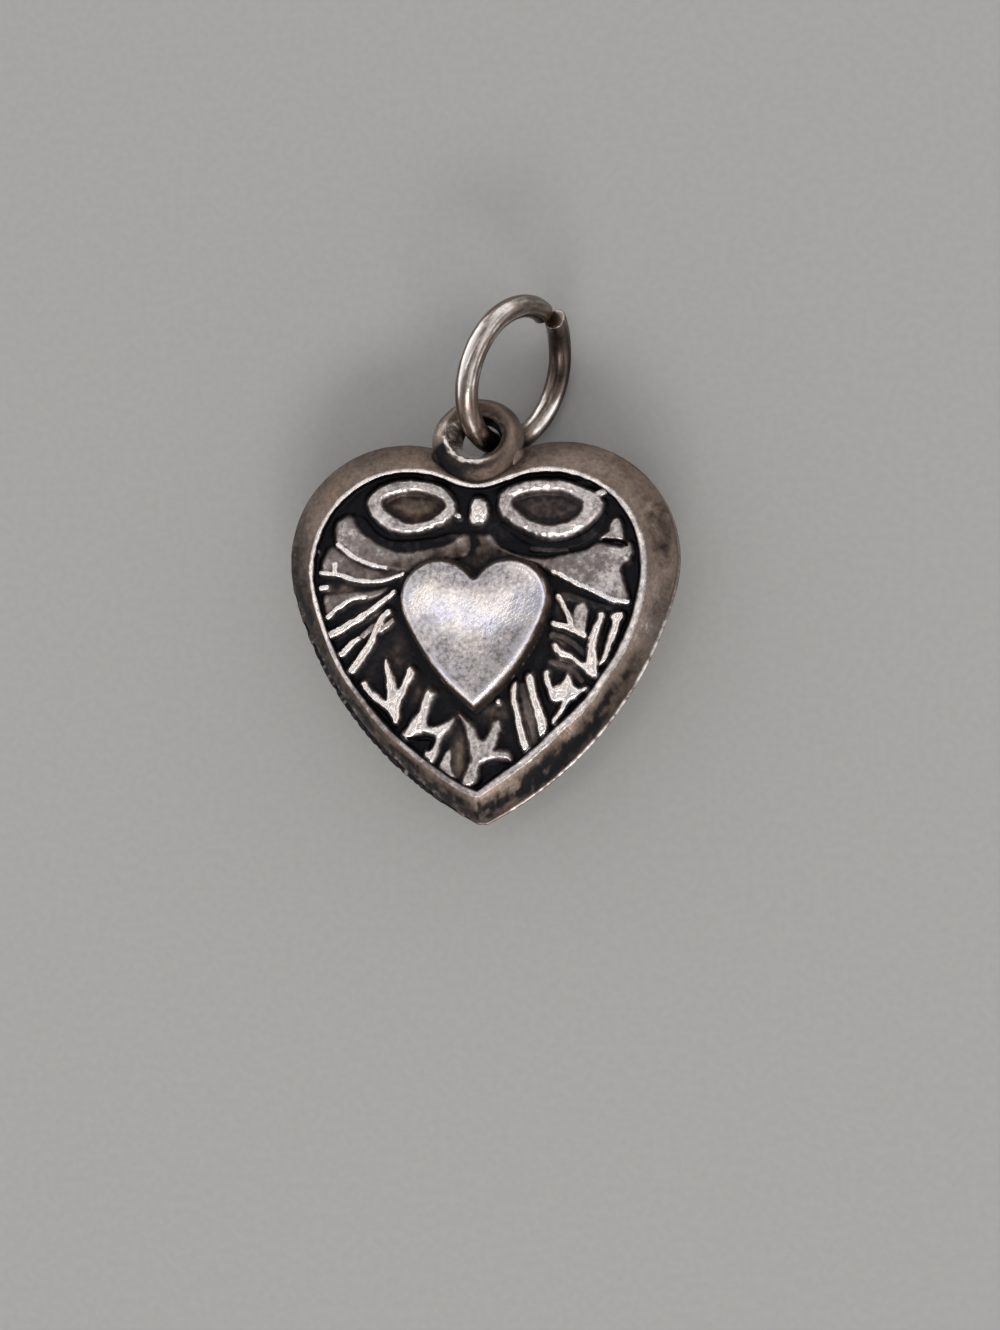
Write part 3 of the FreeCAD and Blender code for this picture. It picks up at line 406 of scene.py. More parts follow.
# Jump ring, in mm and degrees
RING_CENTRE = (1.215, 9.46, 2.735)
RING_RADIUS = 2.575
WIRE_RADIUS = 0.425
RING_LEAN = 62.75
RING_TURN = -22.2
RING_CUT = 80
RING_GAP = 0.19
RING_STEPS, WIRE_STEPS = 320, 60
WIRE_STREAKS = 0.65
# Rings of its two ends: shares of the way round and of the wire's radius, angle ahead, brightness and streaks
WIRE_START_SHARES = ((0, 0.45, 0.004, 0.9, 0), (0, 0.88, 0, 1.2, 0))
WIRE_END_SHARES = ((1, 0.88, 0, 2, 0), (1, 0.45, -0.004, 1, 0))
# How far the first and the last end are bent sideways in mm, and over which share of the ring
END_SHIFT = (-0.13, 0.34)
END_REACH_SHARE = 0.12
# Shine along the wire, against the share of the way round: its tarnish together with painted highlights on the left and
# lower right limbs and painted shade where the wire runs through the eye and along the upper right limb
RING_TARNISH_AND_PAINTED_LIGHT_SHARES = (
    (0, 0.3), (0.08, 0.36), (0.15, 0.42), (0.22, 0.58), (0.34, 0.58), (0.38, 0.3), (0.44, 0.44), (0.49, 0.3),
    (0.53, 0.1), (0.64, 0.1), (0.68, 0.5), (0.76, 0.56), (0.8, 0.28), (0.84, 0.14), (0.95, 0.16), (1, 0.3),
)

# Grain of the metal: noise scales, and the angles of its scratches in degrees
PATCH_SCALE, SPECK_SCALE, FINE_SCALE, SCRATCH_SCALE = 1100, 6500, 20000, 2600
SCRATCH_ANGLES = (35, -50, 75)
TABLE_SCALE = 3500
TABLE_HALF, TABLE_LEVEL = 0.6, -0.00002  # metres

# The room's light, by the height of its direction: from and to, and its strength there
ROOM_LIGHT = (0, 1, 1.4, 0.38)
ROOM_COLOUR = (0.98, 0.99, 1, 1)
# Lamps: name, place, width and height in metres, power in watts
LAMPS = (
    ("overhead", (-0.05, 0.06, 0.39), 0.4, 0.09, 0.15),
    ("window", (0.108, -0.684, 0.486), 0.54, 0.18, 3.0),
)
LAMP_COLOUR = (1, 0.99, 0.97)
LAMP_TARGET = (0, 0, 0.002)

# Colours, linear
BLACK = (0.01, 0.01, 0.012, 1)
MAUVE = (0.1, 0.08, 0.08, 1)
DARK_BROWN = (0.045, 0.032, 0.025, 1)
BROWN = (0.235, 0.17, 0.13, 1)
GREY = (0.36, 0.32, 0.315, 1)
WARM_SILVER = (0.96, 0.87, 0.82, 1)
COOL_SILVER = (0.79, 0.76, 0.86, 1)
TABLE = (0.382, 0.374, 0.361, 1)


class Heart:
    """A heart outline of five arcs with all its parallel outlines, in mm."""

    def __init__(self, lobe, spread, rise, side, shoulder, cleft, steps):
        self.slope = math.radians(shoulder)
        arm = side - lobe
        self.tip_x = spread - arm * math.cos(self.slope)
        cleft_y = rise + math.sqrt((lobe + cleft) ** 2 - spread**2)
        self.joint = math.atan2(cleft_y - rise, -spread)
        self.radii = (side, lobe, cleft)
        self.centres = ((self.tip_x, rise + arm * math.sin(self.slope)), (spread, rise), (0, cleft_y))
        self.steps = steps

    def half(self, inset):
        """The right half of a parallel outline, from the point to the cleft. The inset may change on the way."""
        side, lobe, cleft = self.steps
        index = np.arange(side + lobe + cleft + 1)
        inset = np.broadcast_to(inset, index.shape)
        arcs = [index <= side, index <= side + lobe, index > side + lobe]
        tip = -np.arccos(-self.tip_x / (self.radii[0] - inset))
        angle = np.select(arcs, (
            tip + (-self.slope - tip) * index / side,
            -self.slope + (self.joint + self.slope) * (index - side) / lobe,
            self.joint - math.pi + (math.pi / 2 - self.joint) * (index - side - lobe) / cleft,
        ))
        radius = np.select(arcs, (self.radii[0] - inset, self.radii[1] - inset, self.radii[2] + inset))
        x = np.select(arcs, [c[0] for c in self.centres])
        y = np.select(arcs, [c[1] for c in self.centres])
        return np.stack([x + radius * np.cos(angle), y + radius * np.sin(angle)], axis=1)

    def ring(self, right, left=None):
        """A whole parallel outline, counterclockwise from the point."""
        mirrored = self.half(right if left is None else left) * (-1, 1)
        return np.vstack([self.half(right), mirrored[-2:0:-1]])


BODY = Heart(lobe=4.3, spread=2.9, rise=2.7, side=13.4, shoulder=15, cleft=2.4,
             steps=(SIDE_STEPS, LOBE_STEPS, CLEFT_STEPS))
BOSS = Heart(lobe=1.4, spread=1.27, rise=1.23, side=8.0, shoulder=21, cleft=0.15, steps=(60, 60, 6))
RIM_SHARE = np.arange(HALF_STEPS + 1) / HALF_STEPS


def around(right, left):
    """Values along the two halves as one array round the whole outline."""
    return np.concatenate([right, left[-2:0:-1]])


def halves(values):
    """The opposite of around: the values along the right half and along the left half."""
    return values[: HALF_STEPS + 1], np.concatenate([values[:1], values[HALF_STEPS:][::-1]])


def blunted(outline, reach):
    """An outline of the heart with its point worn round over reach steps."""
    blunt = outline.copy()
    for step in range(-reach, reach + 1):
        span = reach - abs(step)
        blunt[step] = sum(outline[(step + k) % len(outline)] for k in range(-span, span + 1)) / (2 * span + 1)
    return blunt


def table_at(rows, where, column=1):
    """A column of a table read against its first one, with straight lines between the rows."""
    return np.interp(where, [row[0] for row in rows], [row[column] for row in rows])


def both_at(right, left):
    """Two tables of the way from the point to the cleft, read at each step of the right and of the left half."""
    return table_at(right, RIM_SHARE), table_at(left, RIM_SHARE)


def lower_left_part():
    """1 where the rim's foot is sunk most, at the lower left, down to 0 where it isn't."""
    sunk = table_at(LEFT_SUNK_SHARES, RIM_SHARE)
    return around(0 * sunk, sunk) / sunk.max()


def clipped(values, low=0.0, high=1.0):
    """Values kept between two limits."""
    return np.clip(values, low, high)


def softened(values, reach):
    """Values round a closed outline, averaged over a few neighbours."""
    return sum(np.roll(values, k) for k in range(-reach, reach + 1)) / (2 * reach + 1)


def uneven(points, cell, seed):
    """Smooth random values from -1 to 1, which change over about one cell."""
    table = np.random.default_rng(seed).uniform(-1, 1, (NOISE_CELLS, NOISE_CELLS))
    where = points[:, :2] / cell
    low = np.floor(where).astype(int)
    part = where - low
    part = part * part * (3 - 2 * part)
    x, y = low.T % NOISE_CELLS
    x2, y2 = (x + 1) % NOISE_CELLS, (y + 1) % NOISE_CELLS
    near = table[x, y] * (1 - part[:, 0]) + table[x2, y] * part[:, 0]
    far = table[x, y2] * (1 - part[:, 0]) + table[x2, y2] * part[:, 0]
    return near * (1 - part[:, 1]) + far * part[:, 1]


def rounded_line(shares, closed):
    """A line of shares in mm with its corners cut, and evened out first where EVENED_SHARES says so."""
    line = np.array(shares, float) * FIELD_HALF
    if shares in EVENED_SHARES:
        line = (np.roll(line, 1, axis=0) + 2 * line + np.roll(line, -1, axis=0)) / 4
    for _ in range(CORNER_CUTS if len(line) > 2 else 0):
        ahead = np.roll(line, -1, axis=0)
        cut = np.stack([line * 0.75 + ahead * 0.25, line * 0.25 + ahead * 0.75], axis=1).reshape(-1, 2)
        line = cut if closed else np.vstack([line[:1], cut[:-2], line[-1:]])
    return line


def to_line(points, line, closed):
    """Distance from each point to a line, the share of the way along it, and whether the point is inside it."""
    ends = np.roll(line, -1, axis=0) if closed else line[1:]
    starts = line if closed else line[:-1]
    best = np.full(len(points), np.inf)
    along = np.zeros(len(points))
    inside = np.zeros(len(points), bool)
    for number, (start, end) in enumerate(zip(starts, ends)):
        way = end - start
        part = np.clip((points - start) @ way / max(way @ way, 1e-9), 0, 1)
        far = np.hypot(*(points - start - part[:, None] * way).T)
        closer = far < best
        best = np.where(closer, far, best)
        along = np.where(closer, (number + part) / len(starts), along)
        if closed and start[1] != end[1]:
            crosses = (points[:, 1] >= start[1]) != (points[:, 1] >= end[1])
            at = start[0] + (points[:, 1] - start[1]) * way[0] / way[1]
            inside ^= crosses & (points[:, 0] < at)
    return best, along, inside


def depth_in(points, line):
    """How deep each point is inside a closed line, in mm, negative outside it."""
    far, _, inside = to_line(points, line, True)
    return np.where(inside, far, -far)


class Relief:
    """Height, shine and warmth of the front at many points inside the ridge."""

    def __init__(self, points):
        self.points = points
        self.height = FIELD + 0.02 * uneven(points, 0.35, 1) + 0.012 * uneven(points, 0.14, 2)
        self.shine = 0.065 + 0.04 * uneven(points, 0.5, 6) + 0.02 * uneven(points, 0.12, 16)
        self.warmth = np.full(len(points), 0.12)
        self.kept = np.zeros(len(points))
        self.tint(FIELD_TINT_SHARES, 1)

    def tint(self, places, kept):
        """Changes shine and warmth round each place: tarnish tones on the field, painted shade and light on the relief.
        A kept place isn't blackened later.
        """
        for x, y, reach_x, reach_y, shine, warmth in places:
            away = (self.points / FIELD_HALF - (x, y)) / (reach_x, reach_y)
            near = np.exp(-(away**2).sum(axis=1))
            self.shine += near * shine * (1 + uneven(self.points, 0.25, 17))
            self.warmth += near * warmth
            self.kept += near * kept

    def near(self, line, margin):
        """Which points are near a line."""
        low, high = line.min(axis=0) - margin, line.max(axis=0) + margin
        return np.flatnonzero(((self.points > low) & (self.points < high)).all(axis=1))

    def raise_to(self, here, depth, height, rounding, shine, warmth):
        """Lifts a patch with a foot and a rounded edge, and gives it the shine where it wins."""
        points = self.points[here]
        depth = depth + EDGE_OUT + 0.022 * uneven(points, 0.3, 3) + 0.012 * uneven(points, 0.11, 4)
        foot = clipped(1 + depth / FOOT_WIDTH) ** 2
        share = clipped(depth / rounding)
        top = height * (FOOT_SHARE * foot + (1 - FOOT_SHARE) * (1 - (1 - share) ** 2.2))
        top = FIELD + top * (1 + 0.08 * uneven(points, 0.4, 5) + 0.07 * uneven(points, 0.13, 18))
        wins = (top > self.height[here]) & (foot > 0)
        chosen = here[wins]
        self.height[chosen] = top[wins]
        mix = clipped(foot[wins] * 0.28 + share[wins] * 1.35)
        shine = STRUCK_SHINE * shine + 0.06 * uneven(points[wins], 0.16, 19) + 0.06 * uneven(points[wins], 0.5, 20)
        self.shine[chosen] += (shine - self.shine[chosen]) * mix
        self.warmth[chosen] += (warmth - self.warmth[chosen]) * mix

    def area(self, outline, opening, height, rounding, shine, warmth):
        """Raises what lies inside an outline and outside its opening."""
        line = rounded_line(outline, True)
        here = self.near(line, 0.2)
        depth = depth_in(self.points[here], line)
        if opening:
            depth = np.minimum(depth, -depth_in(self.points[here], rounded_line(opening, True)))
        self.raise_to(here, depth, height, rounding, shine, warmth)

    def stroke(self, shares, first, last, height, shine, warmth):
        """Raises a line whose width goes from first to last."""
        line = rounded_line(shares, False)
        here = self.near(line, 0.3)
        far, along, _ = to_line(self.points[here], line, False)
        half = (first + (last - first) * along) / 2
        self.raise_to(here, half - far, height, half.mean() + 0.05, shine, warmth)

    def cut(self, shares, width, depth):
        """Sinks and blackens a line."""
        line = rounded_line(shares, False)
        here = self.near(line, 0.3)
        far, _, _ = to_line(self.points[here], line, False)
        share = clipped(1 - (far / (width / 2)) ** 2)
        self.height[here] -= depth * share
        self.shine[here] *= 1 - share

    def hole(self, opening, shine, warmth):
        """The gently raised reddish floor inside a loop of the bow."""
        line = rounded_line(opening, True)
        here = self.near(line, 0)
        depth = depth_in(self.points[here], line)
        share, inside = clipped(depth / 0.5), clipped(depth / 0.08)
        grain = uneven(self.points[here], 0.16, 22)
        self.height[here] += 0.1 * share + 0.015 * inside * grain
        self.shine[here] += (shine * (0.7 + 0.5 * share) + 0.06 * grain) * inside
        self.warmth[here] += warmth * inside
        self.kept[here] += 0.6 * inside

    def boss(self):
        """The raised heart: worn bare inside its edge, with a painted reflection in a bright band across it and painted
        highlights along its rims, most towards the lower right.
        """
        outline = BOSS.ring(-BOSS_OUT) + (BOSS_SHIFT, 0)
        here = self.near(outline, 0.6)
        depth = depth_in(self.points[here], outline)
        self.warmth[here] += (0.7 - self.warmth[here]) * np.exp(np.minimum(depth, 0) / 0.3)
        top = BOSS_FOOT + (BOSS_TOP - BOSS_FOOT) * table_at(BOSS_PROFILE, depth)
        wins = (top > self.height[here]) & (depth > 0)
        chosen = here[wins]
        points = self.points[chosen]
        x, y = points.T
        self.height[chosen] = top[wins] + 0.008 * uneven(points, 0.7, 8) - 0.01 * clipped(0.9 - y, 0, 3) ** 2
        edge = depth[wins] + 0.03 * uneven(points, 0.4, 7)
        bare = clipped((edge - 0.12) / 0.1)
        # Painted reflection and highlights: a bright band across the boss and brighter rims towards its lower right,
        # carried in its shine
        painted_reflection_band = clipped(1.1 - np.abs(y + 0.25 * uneven(points, 0.6, 23) - 0.6 - 0.2 * abs(x)) / 0.9)
        painted_highlight = clipped(painted_reflection_band + clipped(1 - abs(edge - 0.3) / 0.16) * clipped(0.9 - y + x))
        painted_highlight = np.maximum(painted_highlight, clipped(1 - abs(edge - 0.35) / 0.3) * clipped(x - 0.8, 0, 0.8))
        grain = 0.05 * uneven(points, 0.09, 24) + 0.03 * uneven(points, 0.3, 25)
        self.shine[chosen] = 0.3 + bare * (0.3 + 0.34 * painted_highlight + grain)
        self.warmth[chosen] = 0.8 - 0.78 * bare
        self.on_boss = np.zeros(len(self.points), bool)
        self.on_boss[chosen] = True

    def settle_tarnish(self):
        """Blackens each place by how far it lies below the mean height around it."""
        cell = 0.06
        low = self.points.min(axis=0)
        column, row = ((self.points - low) / cell).astype(int).T
        size = (column.max() + 1, row.max() + 1)
        level = np.minimum(self.height, FIELD + 0.5)
        for reach, depth in ((0.12, 0.09), (0.35, 0.16)):
            sums, counts = np.zeros(size), np.zeros(size)
            np.add.at(sums, (column, row), level)
            np.add.at(counts, (column, row), 1)
            step = np.arange(-int(3 * reach / cell), int(3 * reach / cell) + 1) * cell
            bell = np.exp(-((step / reach) ** 2) / 2)
            for axis in (0, 1):
                sums, counts = (np.apply_along_axis(np.convolve, axis, grid, bell, "same") for grid in (sums, counts))
            mean = (sums / np.maximum(counts, 1e-9))[column, row]
            black = clipped((mean - level) / depth) * clipped(1 - self.kept)
            self.shine *= np.where(self.on_boss, 1, 1 - 0.9 * black)
            self.warmth *= np.where(self.on_boss, 1, 1 - 0.5 * black)


def make_piece(name, vertices, faces, material, shine, warmth, node, body="heart"):
    """One visible piece, which stands for a CAD node: vertices in mm and each one's shine and warmth."""
    mesh = bpy.data.meshes.new(name)
    mesh.from_pydata((np.reshape(vertices, (-1, 3)) * MM).tolist(), [], faces)
    mesh.shade_smooth()
    for key, values in (("shine", shine), ("warmth", warmth)):
        layer = mesh.attributes.new(key, "FLOAT", "POINT")
        layer.data.foreach_set("value", np.ravel(np.asarray(values, np.float32)))
    mesh.materials.append(material)
    piece = bpy.data.objects.new(name, mesh)
    bpy.context.scene.collection.objects.link(piece)
    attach(piece, body)
    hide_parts(node)


def ring_faces(rings, count, first=0, loop=False):
    """Quads between rings of count vertices each."""
    faces = []
    for r in range(rings if loop else rings - 1):
        low, high = first + r * count, first + (r + 1) % rings * count
        faces += [(low + j, low + (j + 1) % count, high + (j + 1) % count, high + j) for j in range(count)]
    return faces


def block_edge():
    """The outline of the middle block: four bowed edges between its corners."""
    x, y = BLOCK_RIGHT
    low, high = BLOCK_BULGE_SHARES
    corners = np.array([(0, BLOCK_LOW), (x, y), (0, BLOCK_TOP), (-x, y), (0, BLOCK_LOW)])
    step = np.linspace(0, 1, BLOCK_STEPS, endpoint=False)[:, None]
    edges = []
    for start, end, bow in zip(corners, corners[1:], (low, high, high, low)):
        way = end - start
        edges.append(start + way * step + np.array([way[1], -way[0]]) * bow * 4 * step * (1 - step))
    return np.vstack(edges)


def filled_block(edge):
    """A grid of points that fills the four-sided outline."""
    n = BLOCK_STEPS
    ring = np.vstack([edge, edge[:1]])
    low, right = ring[: n + 1], ring[n : 2 * n + 1]
    top, left = ring[2 * n : 3 * n + 1][::-1], ring[3 * n : 4 * n + 1][::-1]
    u = np.linspace(0, 1, n + 1)[:, None, None]
    v = np.linspace(0, 1, n + 1)[None, :, None]
    across = (1 - v) * low[:, None] + v * top[:, None] + (1 - u) * left[None, :] + u * right[None, :]
    corners = (1 - u) * ((1 - v) * low[0] + v * top[0]) + u * ((1 - v) * low[-1] + v * top[-1])
    return across - corners


def rim_marks(points, across):
    """Shine and warmth of the bevel: brown patches, black streaks along it and paler parts near the point."""
    along = np.column_stack([np.arange(len(points)) * 0.055, np.full(len(points), across * 0.9)])
    shine = 0.37 + 0.05 * uneven(points, 0.9, 71) + 0.05 * uneven(points, 0.2, 72) + 0.06 * (across - 0.5)
    warmth = 0.8 + 0.15 * uneven(points, 1.3, 73)
    streaks = 0.5 * uneven(along * (1, 3), 0.8, 74) + 0.35 * uneven(along * (1, 2), 0.3, 75)
    streaks += 0.2 * uneven(points, 0.1, 76)
    middle = math.exp(-(((across - 0.45) / 0.36) ** 2))
    for x, y, reach, strength, pale in RIM_MARKS_SHARES:
        near = np.exp(-((points / FIELD_HALF - (x, y)) ** 2).sum(axis=1) / reach**2)
        shine += near * (pale - strength * middle * clipped(streaks + 0.4))
        warmth -= near * 3 * max(pale, 0)
    return clipped(shine, 0.02), clipped(warmth)


def make_rims(right_in, left_in, crest_shine):
    """The rings of the front from its lining over the seam and the bevel up to the ridge, with shine and warmth."""
    right_sunk, left_sunk = both_at(RIGHT_SUNK_SHARES, LEFT_SUNK_SHARES)
    lower_left = lower_left_part()
    rims = [(BODY.ring(inset), np.full(WHOLE_STEPS, level), 0) for inset, level in LINING]
    for inset, level, share in FOOT_RINGS:
        edge = BODY.ring(inset + right_sunk * share, inset + left_sunk * share)
        rims.append((edge + 0.008 * uneven(edge, 0.3, 12)[:, None], np.full(WHOLE_STEPS, level), 0))
    for share in BEVEL_SHARES:
        rest = 1 - share
        outline = BODY.ring(right_in * share + right_sunk * rest, left_in * share + left_sunk * rest)
        level = BEVEL_FOOT + (RIDGE - BEVEL_FOOT) * (1.523 * share - 0.523 * share**2)
        wave = 0.02 * uneven(outline, 0.8, 13) + 0.012 * uneven(outline, 0.25, 11)
        rims.append((outline, level + wave * min(1, 5 * rest), share))
    rings, shine, warmth = [], [], []
    for number, (outline, level, share) in enumerate(rims):
        above = len(rims) - 1 - number
        rings.append(np.column_stack([blunted(outline, min(POINT_REACH, above + 3)), level]))
        crest = max(0, 2 - above) / 2
        pits = clipped(1.15 + 2 * uneven(outline, 0.2, 43) + uneven(outline, 0.1, 46) - share / 0.25) * lower_left
        dots = clipped(3 * uneven(outline, 0.11, 48) - 1.4) * lower_left * (share < 0.2)
        ring_shine, ring_warmth = rim_marks(outline, share)
        ring_shine = ring_shine * (1 - 0.97 * pits) + 0.5 * dots
        shine.append(ring_shine * (1 - crest) + (crest_shine + 0.08 * uneven(outline, 0.3, 44)) * crest)
        warmth.append(ring_warmth * (1 - 0.9 * crest))
    return rings, np.concatenate(shine), np.concatenate(warmth)


def front_relief(points):
    """All the raised work, in the order in which one piece of it covers another."""
    relief = Relief(points)
    for area in AREAS[:UNDER_AREAS]:
        relief.area(*area)
    relief.hole(LEFT_HOLE_SHARES, 0.13, 0.85)
    relief.hole(RIGHT_HOLE_SHARES, 0.08, 0.35)
    for area in AREAS[UNDER_AREAS:]:
        relief.area(*area)
    # Painted shade and light on the relief: darker and brighter places across the tails' pleats, the knot and the loops
    relief.tint(RELIEF_PAINTED_SHADING_SHARES, 0)
    for stroke in STROKE_SHARES:
        relief.stroke(*stroke)
    for cut in CUT_SHARES:
        relief.cut(*cut)
    relief.boss()
    return relief


def block_faces(first, ring_start, count):
    """Quads of the middle block, whose edge is the last ring."""
    n = BLOCK_STEPS
    edge = ring_start + np.arange(count + 1) % count
    grid = np.zeros((n + 1, n + 1), int)
    grid[:, 0], grid[-1, :] = edge[: n + 1], edge[n : 2 * n + 1]
    grid[::-1, -1], grid[0, ::-1] = edge[2 * n : 3 * n + 1], edge[3 * n : 4 * n + 1]
    grid[1:-1, 1:-1] = first + np.arange((n - 1) ** 2).reshape(n - 1, n - 1)
    return np.stack([grid[:-1, :-1], grid[1:, :-1], grid[1:, 1:], grid[:-1, 1:]], axis=-1).reshape(-1, 4).tolist()


def make_front(material):
    """The struck front: rim, bevel, ridge, sunken field, relief and boss in one closed mesh."""
    nicks = uneven(BODY.ring(1), 0.25, 14) * 0.015
    right_in, left_in = halves(softened(around(*both_at(RIGHT_RIDGE_SHARES, LEFT_RIDGE_SHARES)), 9) + nicks)
    width = around(*both_at(RIGHT_RIM_WIDTH_SHARES, LEFT_RIM_WIDTH_SHARES))
    right_width, left_width = halves(softened(width, 20) - 2 * nicks)
    crest_shine = around(*both_at(RIGHT_CREST_SHARES, LEFT_CREST_SHARES))
    rings, shine, warmth = make_rims(right_in, left_in, crest_shine)

    # Past the ridge's crest each vertex takes its level from the relief or from the ridge's inner wall
    inner = [BODY.ring(right_in + right_width * share, left_in + left_width * share) for share in WALL_SHARES]
    wall = list(WALL_SHARES)
    edge, wall_foot = block_edge(), inner[-1]
    for share in np.arange(1, FIELD_RINGS + 1) / FIELD_RINGS:
        inner.append(wall_foot * (1 - share) + edge * share)
        wall.append(WALL_SHARES[-1] + 2 * share)
    block = filled_block(edge)[1:-1, 1:-1].reshape(-1, 2)
    points = np.vstack(inner + [block])
    wall = np.concatenate([np.repeat(wall, WHOLE_STEPS), np.full(len(block), BLOCK_WALL_SHARE)])
    relief = front_relief(points)
    fall = clipped((wall - 0.75) / 0.75)
    rim_level = RIDGE + 0.01 * uneven(points, 0.2, 15) - (RIDGE - FIELD + 0.08) * (1 - np.sqrt(1 - fall**2))
    on_rim = rim_level > relief.height
    relief.height[on_rim] = rim_level[on_rim]
    crest_shine = np.concatenate([np.tile(crest_shine, len(inner)), np.zeros(len(block))])
    relief.shine[on_rim] = clipped(crest_shine + 0.1 * uneven(points, 0.2, 44) - 1.6 * fall, 0.02)[on_rim]
    relief.warmth[on_rim] = 0.08
    relief.on_boss |= on_rim
    relief.settle_tarnish()

    total = len(rings) + len(inner)
    faces = [tuple(range(WHOLE_STEPS - 1, -1, -1))] + ring_faces(total, WHOLE_STEPS)
    faces += block_faces(total * WHOLE_STEPS, (total - 1) * WHOLE_STEPS, WHOLE_STEPS)
    make_piece("struck_front", np.vstack(rings + [np.column_stack([points, relief.height])]), faces, material,
               np.concatenate([shine, relief.shine]), np.concatenate([warmth, relief.warmth]),
               node="front_shell")


def make_back(material):
    """The plain puffed back, closed inside by a lining one sheet thick."""
    vertices = np.vstack([
        np.column_stack([blunted(BODY.ring(inset), POINT_REACH), np.full(WHOLE_STEPS, level)])
        for inset, level in BACK_LINING + BACK_PROFILE
    ])
    outer = vertices[len(BACK_LINING) * WHOLE_STEPS :]
    outer[:, 2] = np.maximum(outer[:, 2] + 0.01 * uneven(outer, 0.9, 31) * clipped(outer[:, 2]), 0)
    shine = clipped(0.45 + 0.1 * uneven(vertices, 1.1, 32) + 0.25 * (vertices[:, 2] < 0.05))
    total = len(vertices)
    faces = [f[::-1] for f in ring_faces(total // WHOLE_STEPS, WHOLE_STEPS)]
    faces += [tuple(range(WHOLE_STEPS)), tuple(range(total - 1, total - WHOLE_STEPS - 1, -1))]
    make_piece("puffed_back", vertices, faces, material, shine, np.full(total, 0.8),
               node="back_shell")


def make_seam(material):
    """The bead of solder round the edge, pitted at lower left and bright at lower right."""
    edge = BODY.ring(0)
    sunk = around(*both_at(RIGHT_SUNK_SHARES, LEFT_SUNK_SHARES))
    lower_left = lower_left_part()
    lower_right = clipped(edge[:, 0] / 3) * clipped((2 - edge[:, 1]) / 3)
    pits = clipped(1.6 * uneven(edge, 0.22, 41) + 0.8 * uneven(edge, 0.1, 42) + 0.25) * (0.06 + 0.94 * lower_left)
    dots = clipped(3 * uneven(edge, 0.13, 47) - 1.3) * lower_left
    bright = (0.3 + 0.3 * uneven(edge, 0.18, 45)) * lower_right
    shine = clipped(0.38 + bright - (0.32 * lower_left + 0.5 * pits) + 0.3 * dots, 0.02)
    vertices = []
    for inset, level, share in BEAD_SECTION:
        inset = inset + share * sunk + np.where(inset < 0.08, 0.04 * pits, 0)
        vertices.append(np.column_stack([blunted(BODY.ring(*halves(inset)), POINT_REACH), np.full(WHOLE_STEPS, level)]))
    rings = len(BEAD_SECTION)
    make_piece("seam_bead", vertices, ring_faces(rings, WHOLE_STEPS, loop=True), material,
               np.tile(shine, rings), np.full(rings * WHOLE_STEPS, 0.5), node="seam_solder")


def smooth_loop(points, per_step):
    """A closed smooth curve through the points."""
    points = np.array(points, float)
    before, ahead, after = (np.roll(points, k, axis=0) for k in (1, -1, -2))
    curve = []
    for t in np.arange(per_step) / per_step:
        curve.append(0.5 * (2 * points + (ahead - before) * t + (2 * before - 5 * points + 4 * ahead - after) * t**2
                            + (3 * points - before - 3 * ahead + after) * t**3))
    return np.stack(curve, axis=1).reshape(-1, 2)


def eye_section(degrees, wear):
    """The eye's section at one angle: shares of its width out from the hole, and mm to the front."""
    throat = [((table_at(EYE_THROAT, degrees, column) - EYE_HOLE) / EYE_WIDTH, level)
              for column, level in ((2, -0.46), (1, -0.02))]
    outer = np.array(EYE_SECTION_SHARES)
    outer[:3] += wear * np.array(WORN_EYE_SHARES)
    return smooth_loop(list(outer) + throat, EYE_CURVE_STEPS)


def eye_tones(section, place, pitted, degrees, wear):
    """Shine and warmth round the section: a worn lip, painted shade down the worn funnel, a plain outside and a black
    throat.
    """
    out, ahead = section.T
    side = clipped((out - 0.42 + 0.14 * wear) / 0.16) * (ahead > -0.45)
    thin = np.where(ahead > 0, np.exp(-(((out - 0.04) / 0.09) ** 2)), 0)
    lip = np.where(ahead > 0.02, 1 - side, 0) * (wear + (1 - wear) * thin)
    # The worn lip runs down the funnel, with painted shade that darkens it towards the back
    funnel_wear_and_shade = np.where((out < 0.06) & (ahead <= 0.02), clipped(1.1 + ahead * 0.8), 0)
    lip = np.maximum(lip, funnel_wear_and_shade * wear)
    inside = (out < 0.06) * (ahead < 0.12 - 0.6 * wear) | (ahead < -0.43)
    plain_side = table_at(EYE_SIDE_SHINE, degrees) + 0.07 * uneven(place, 0.5, 53)
    tone = plain_side + (table_at(EYE_LIP_SHINE, degrees) + 22 * wear * pitted - plain_side) * lip
    return clipped(np.where(inside, 0.03 + 0.08 * wear, tone), 0.02), clipped(0.85 - 0.6 * lip * wear)


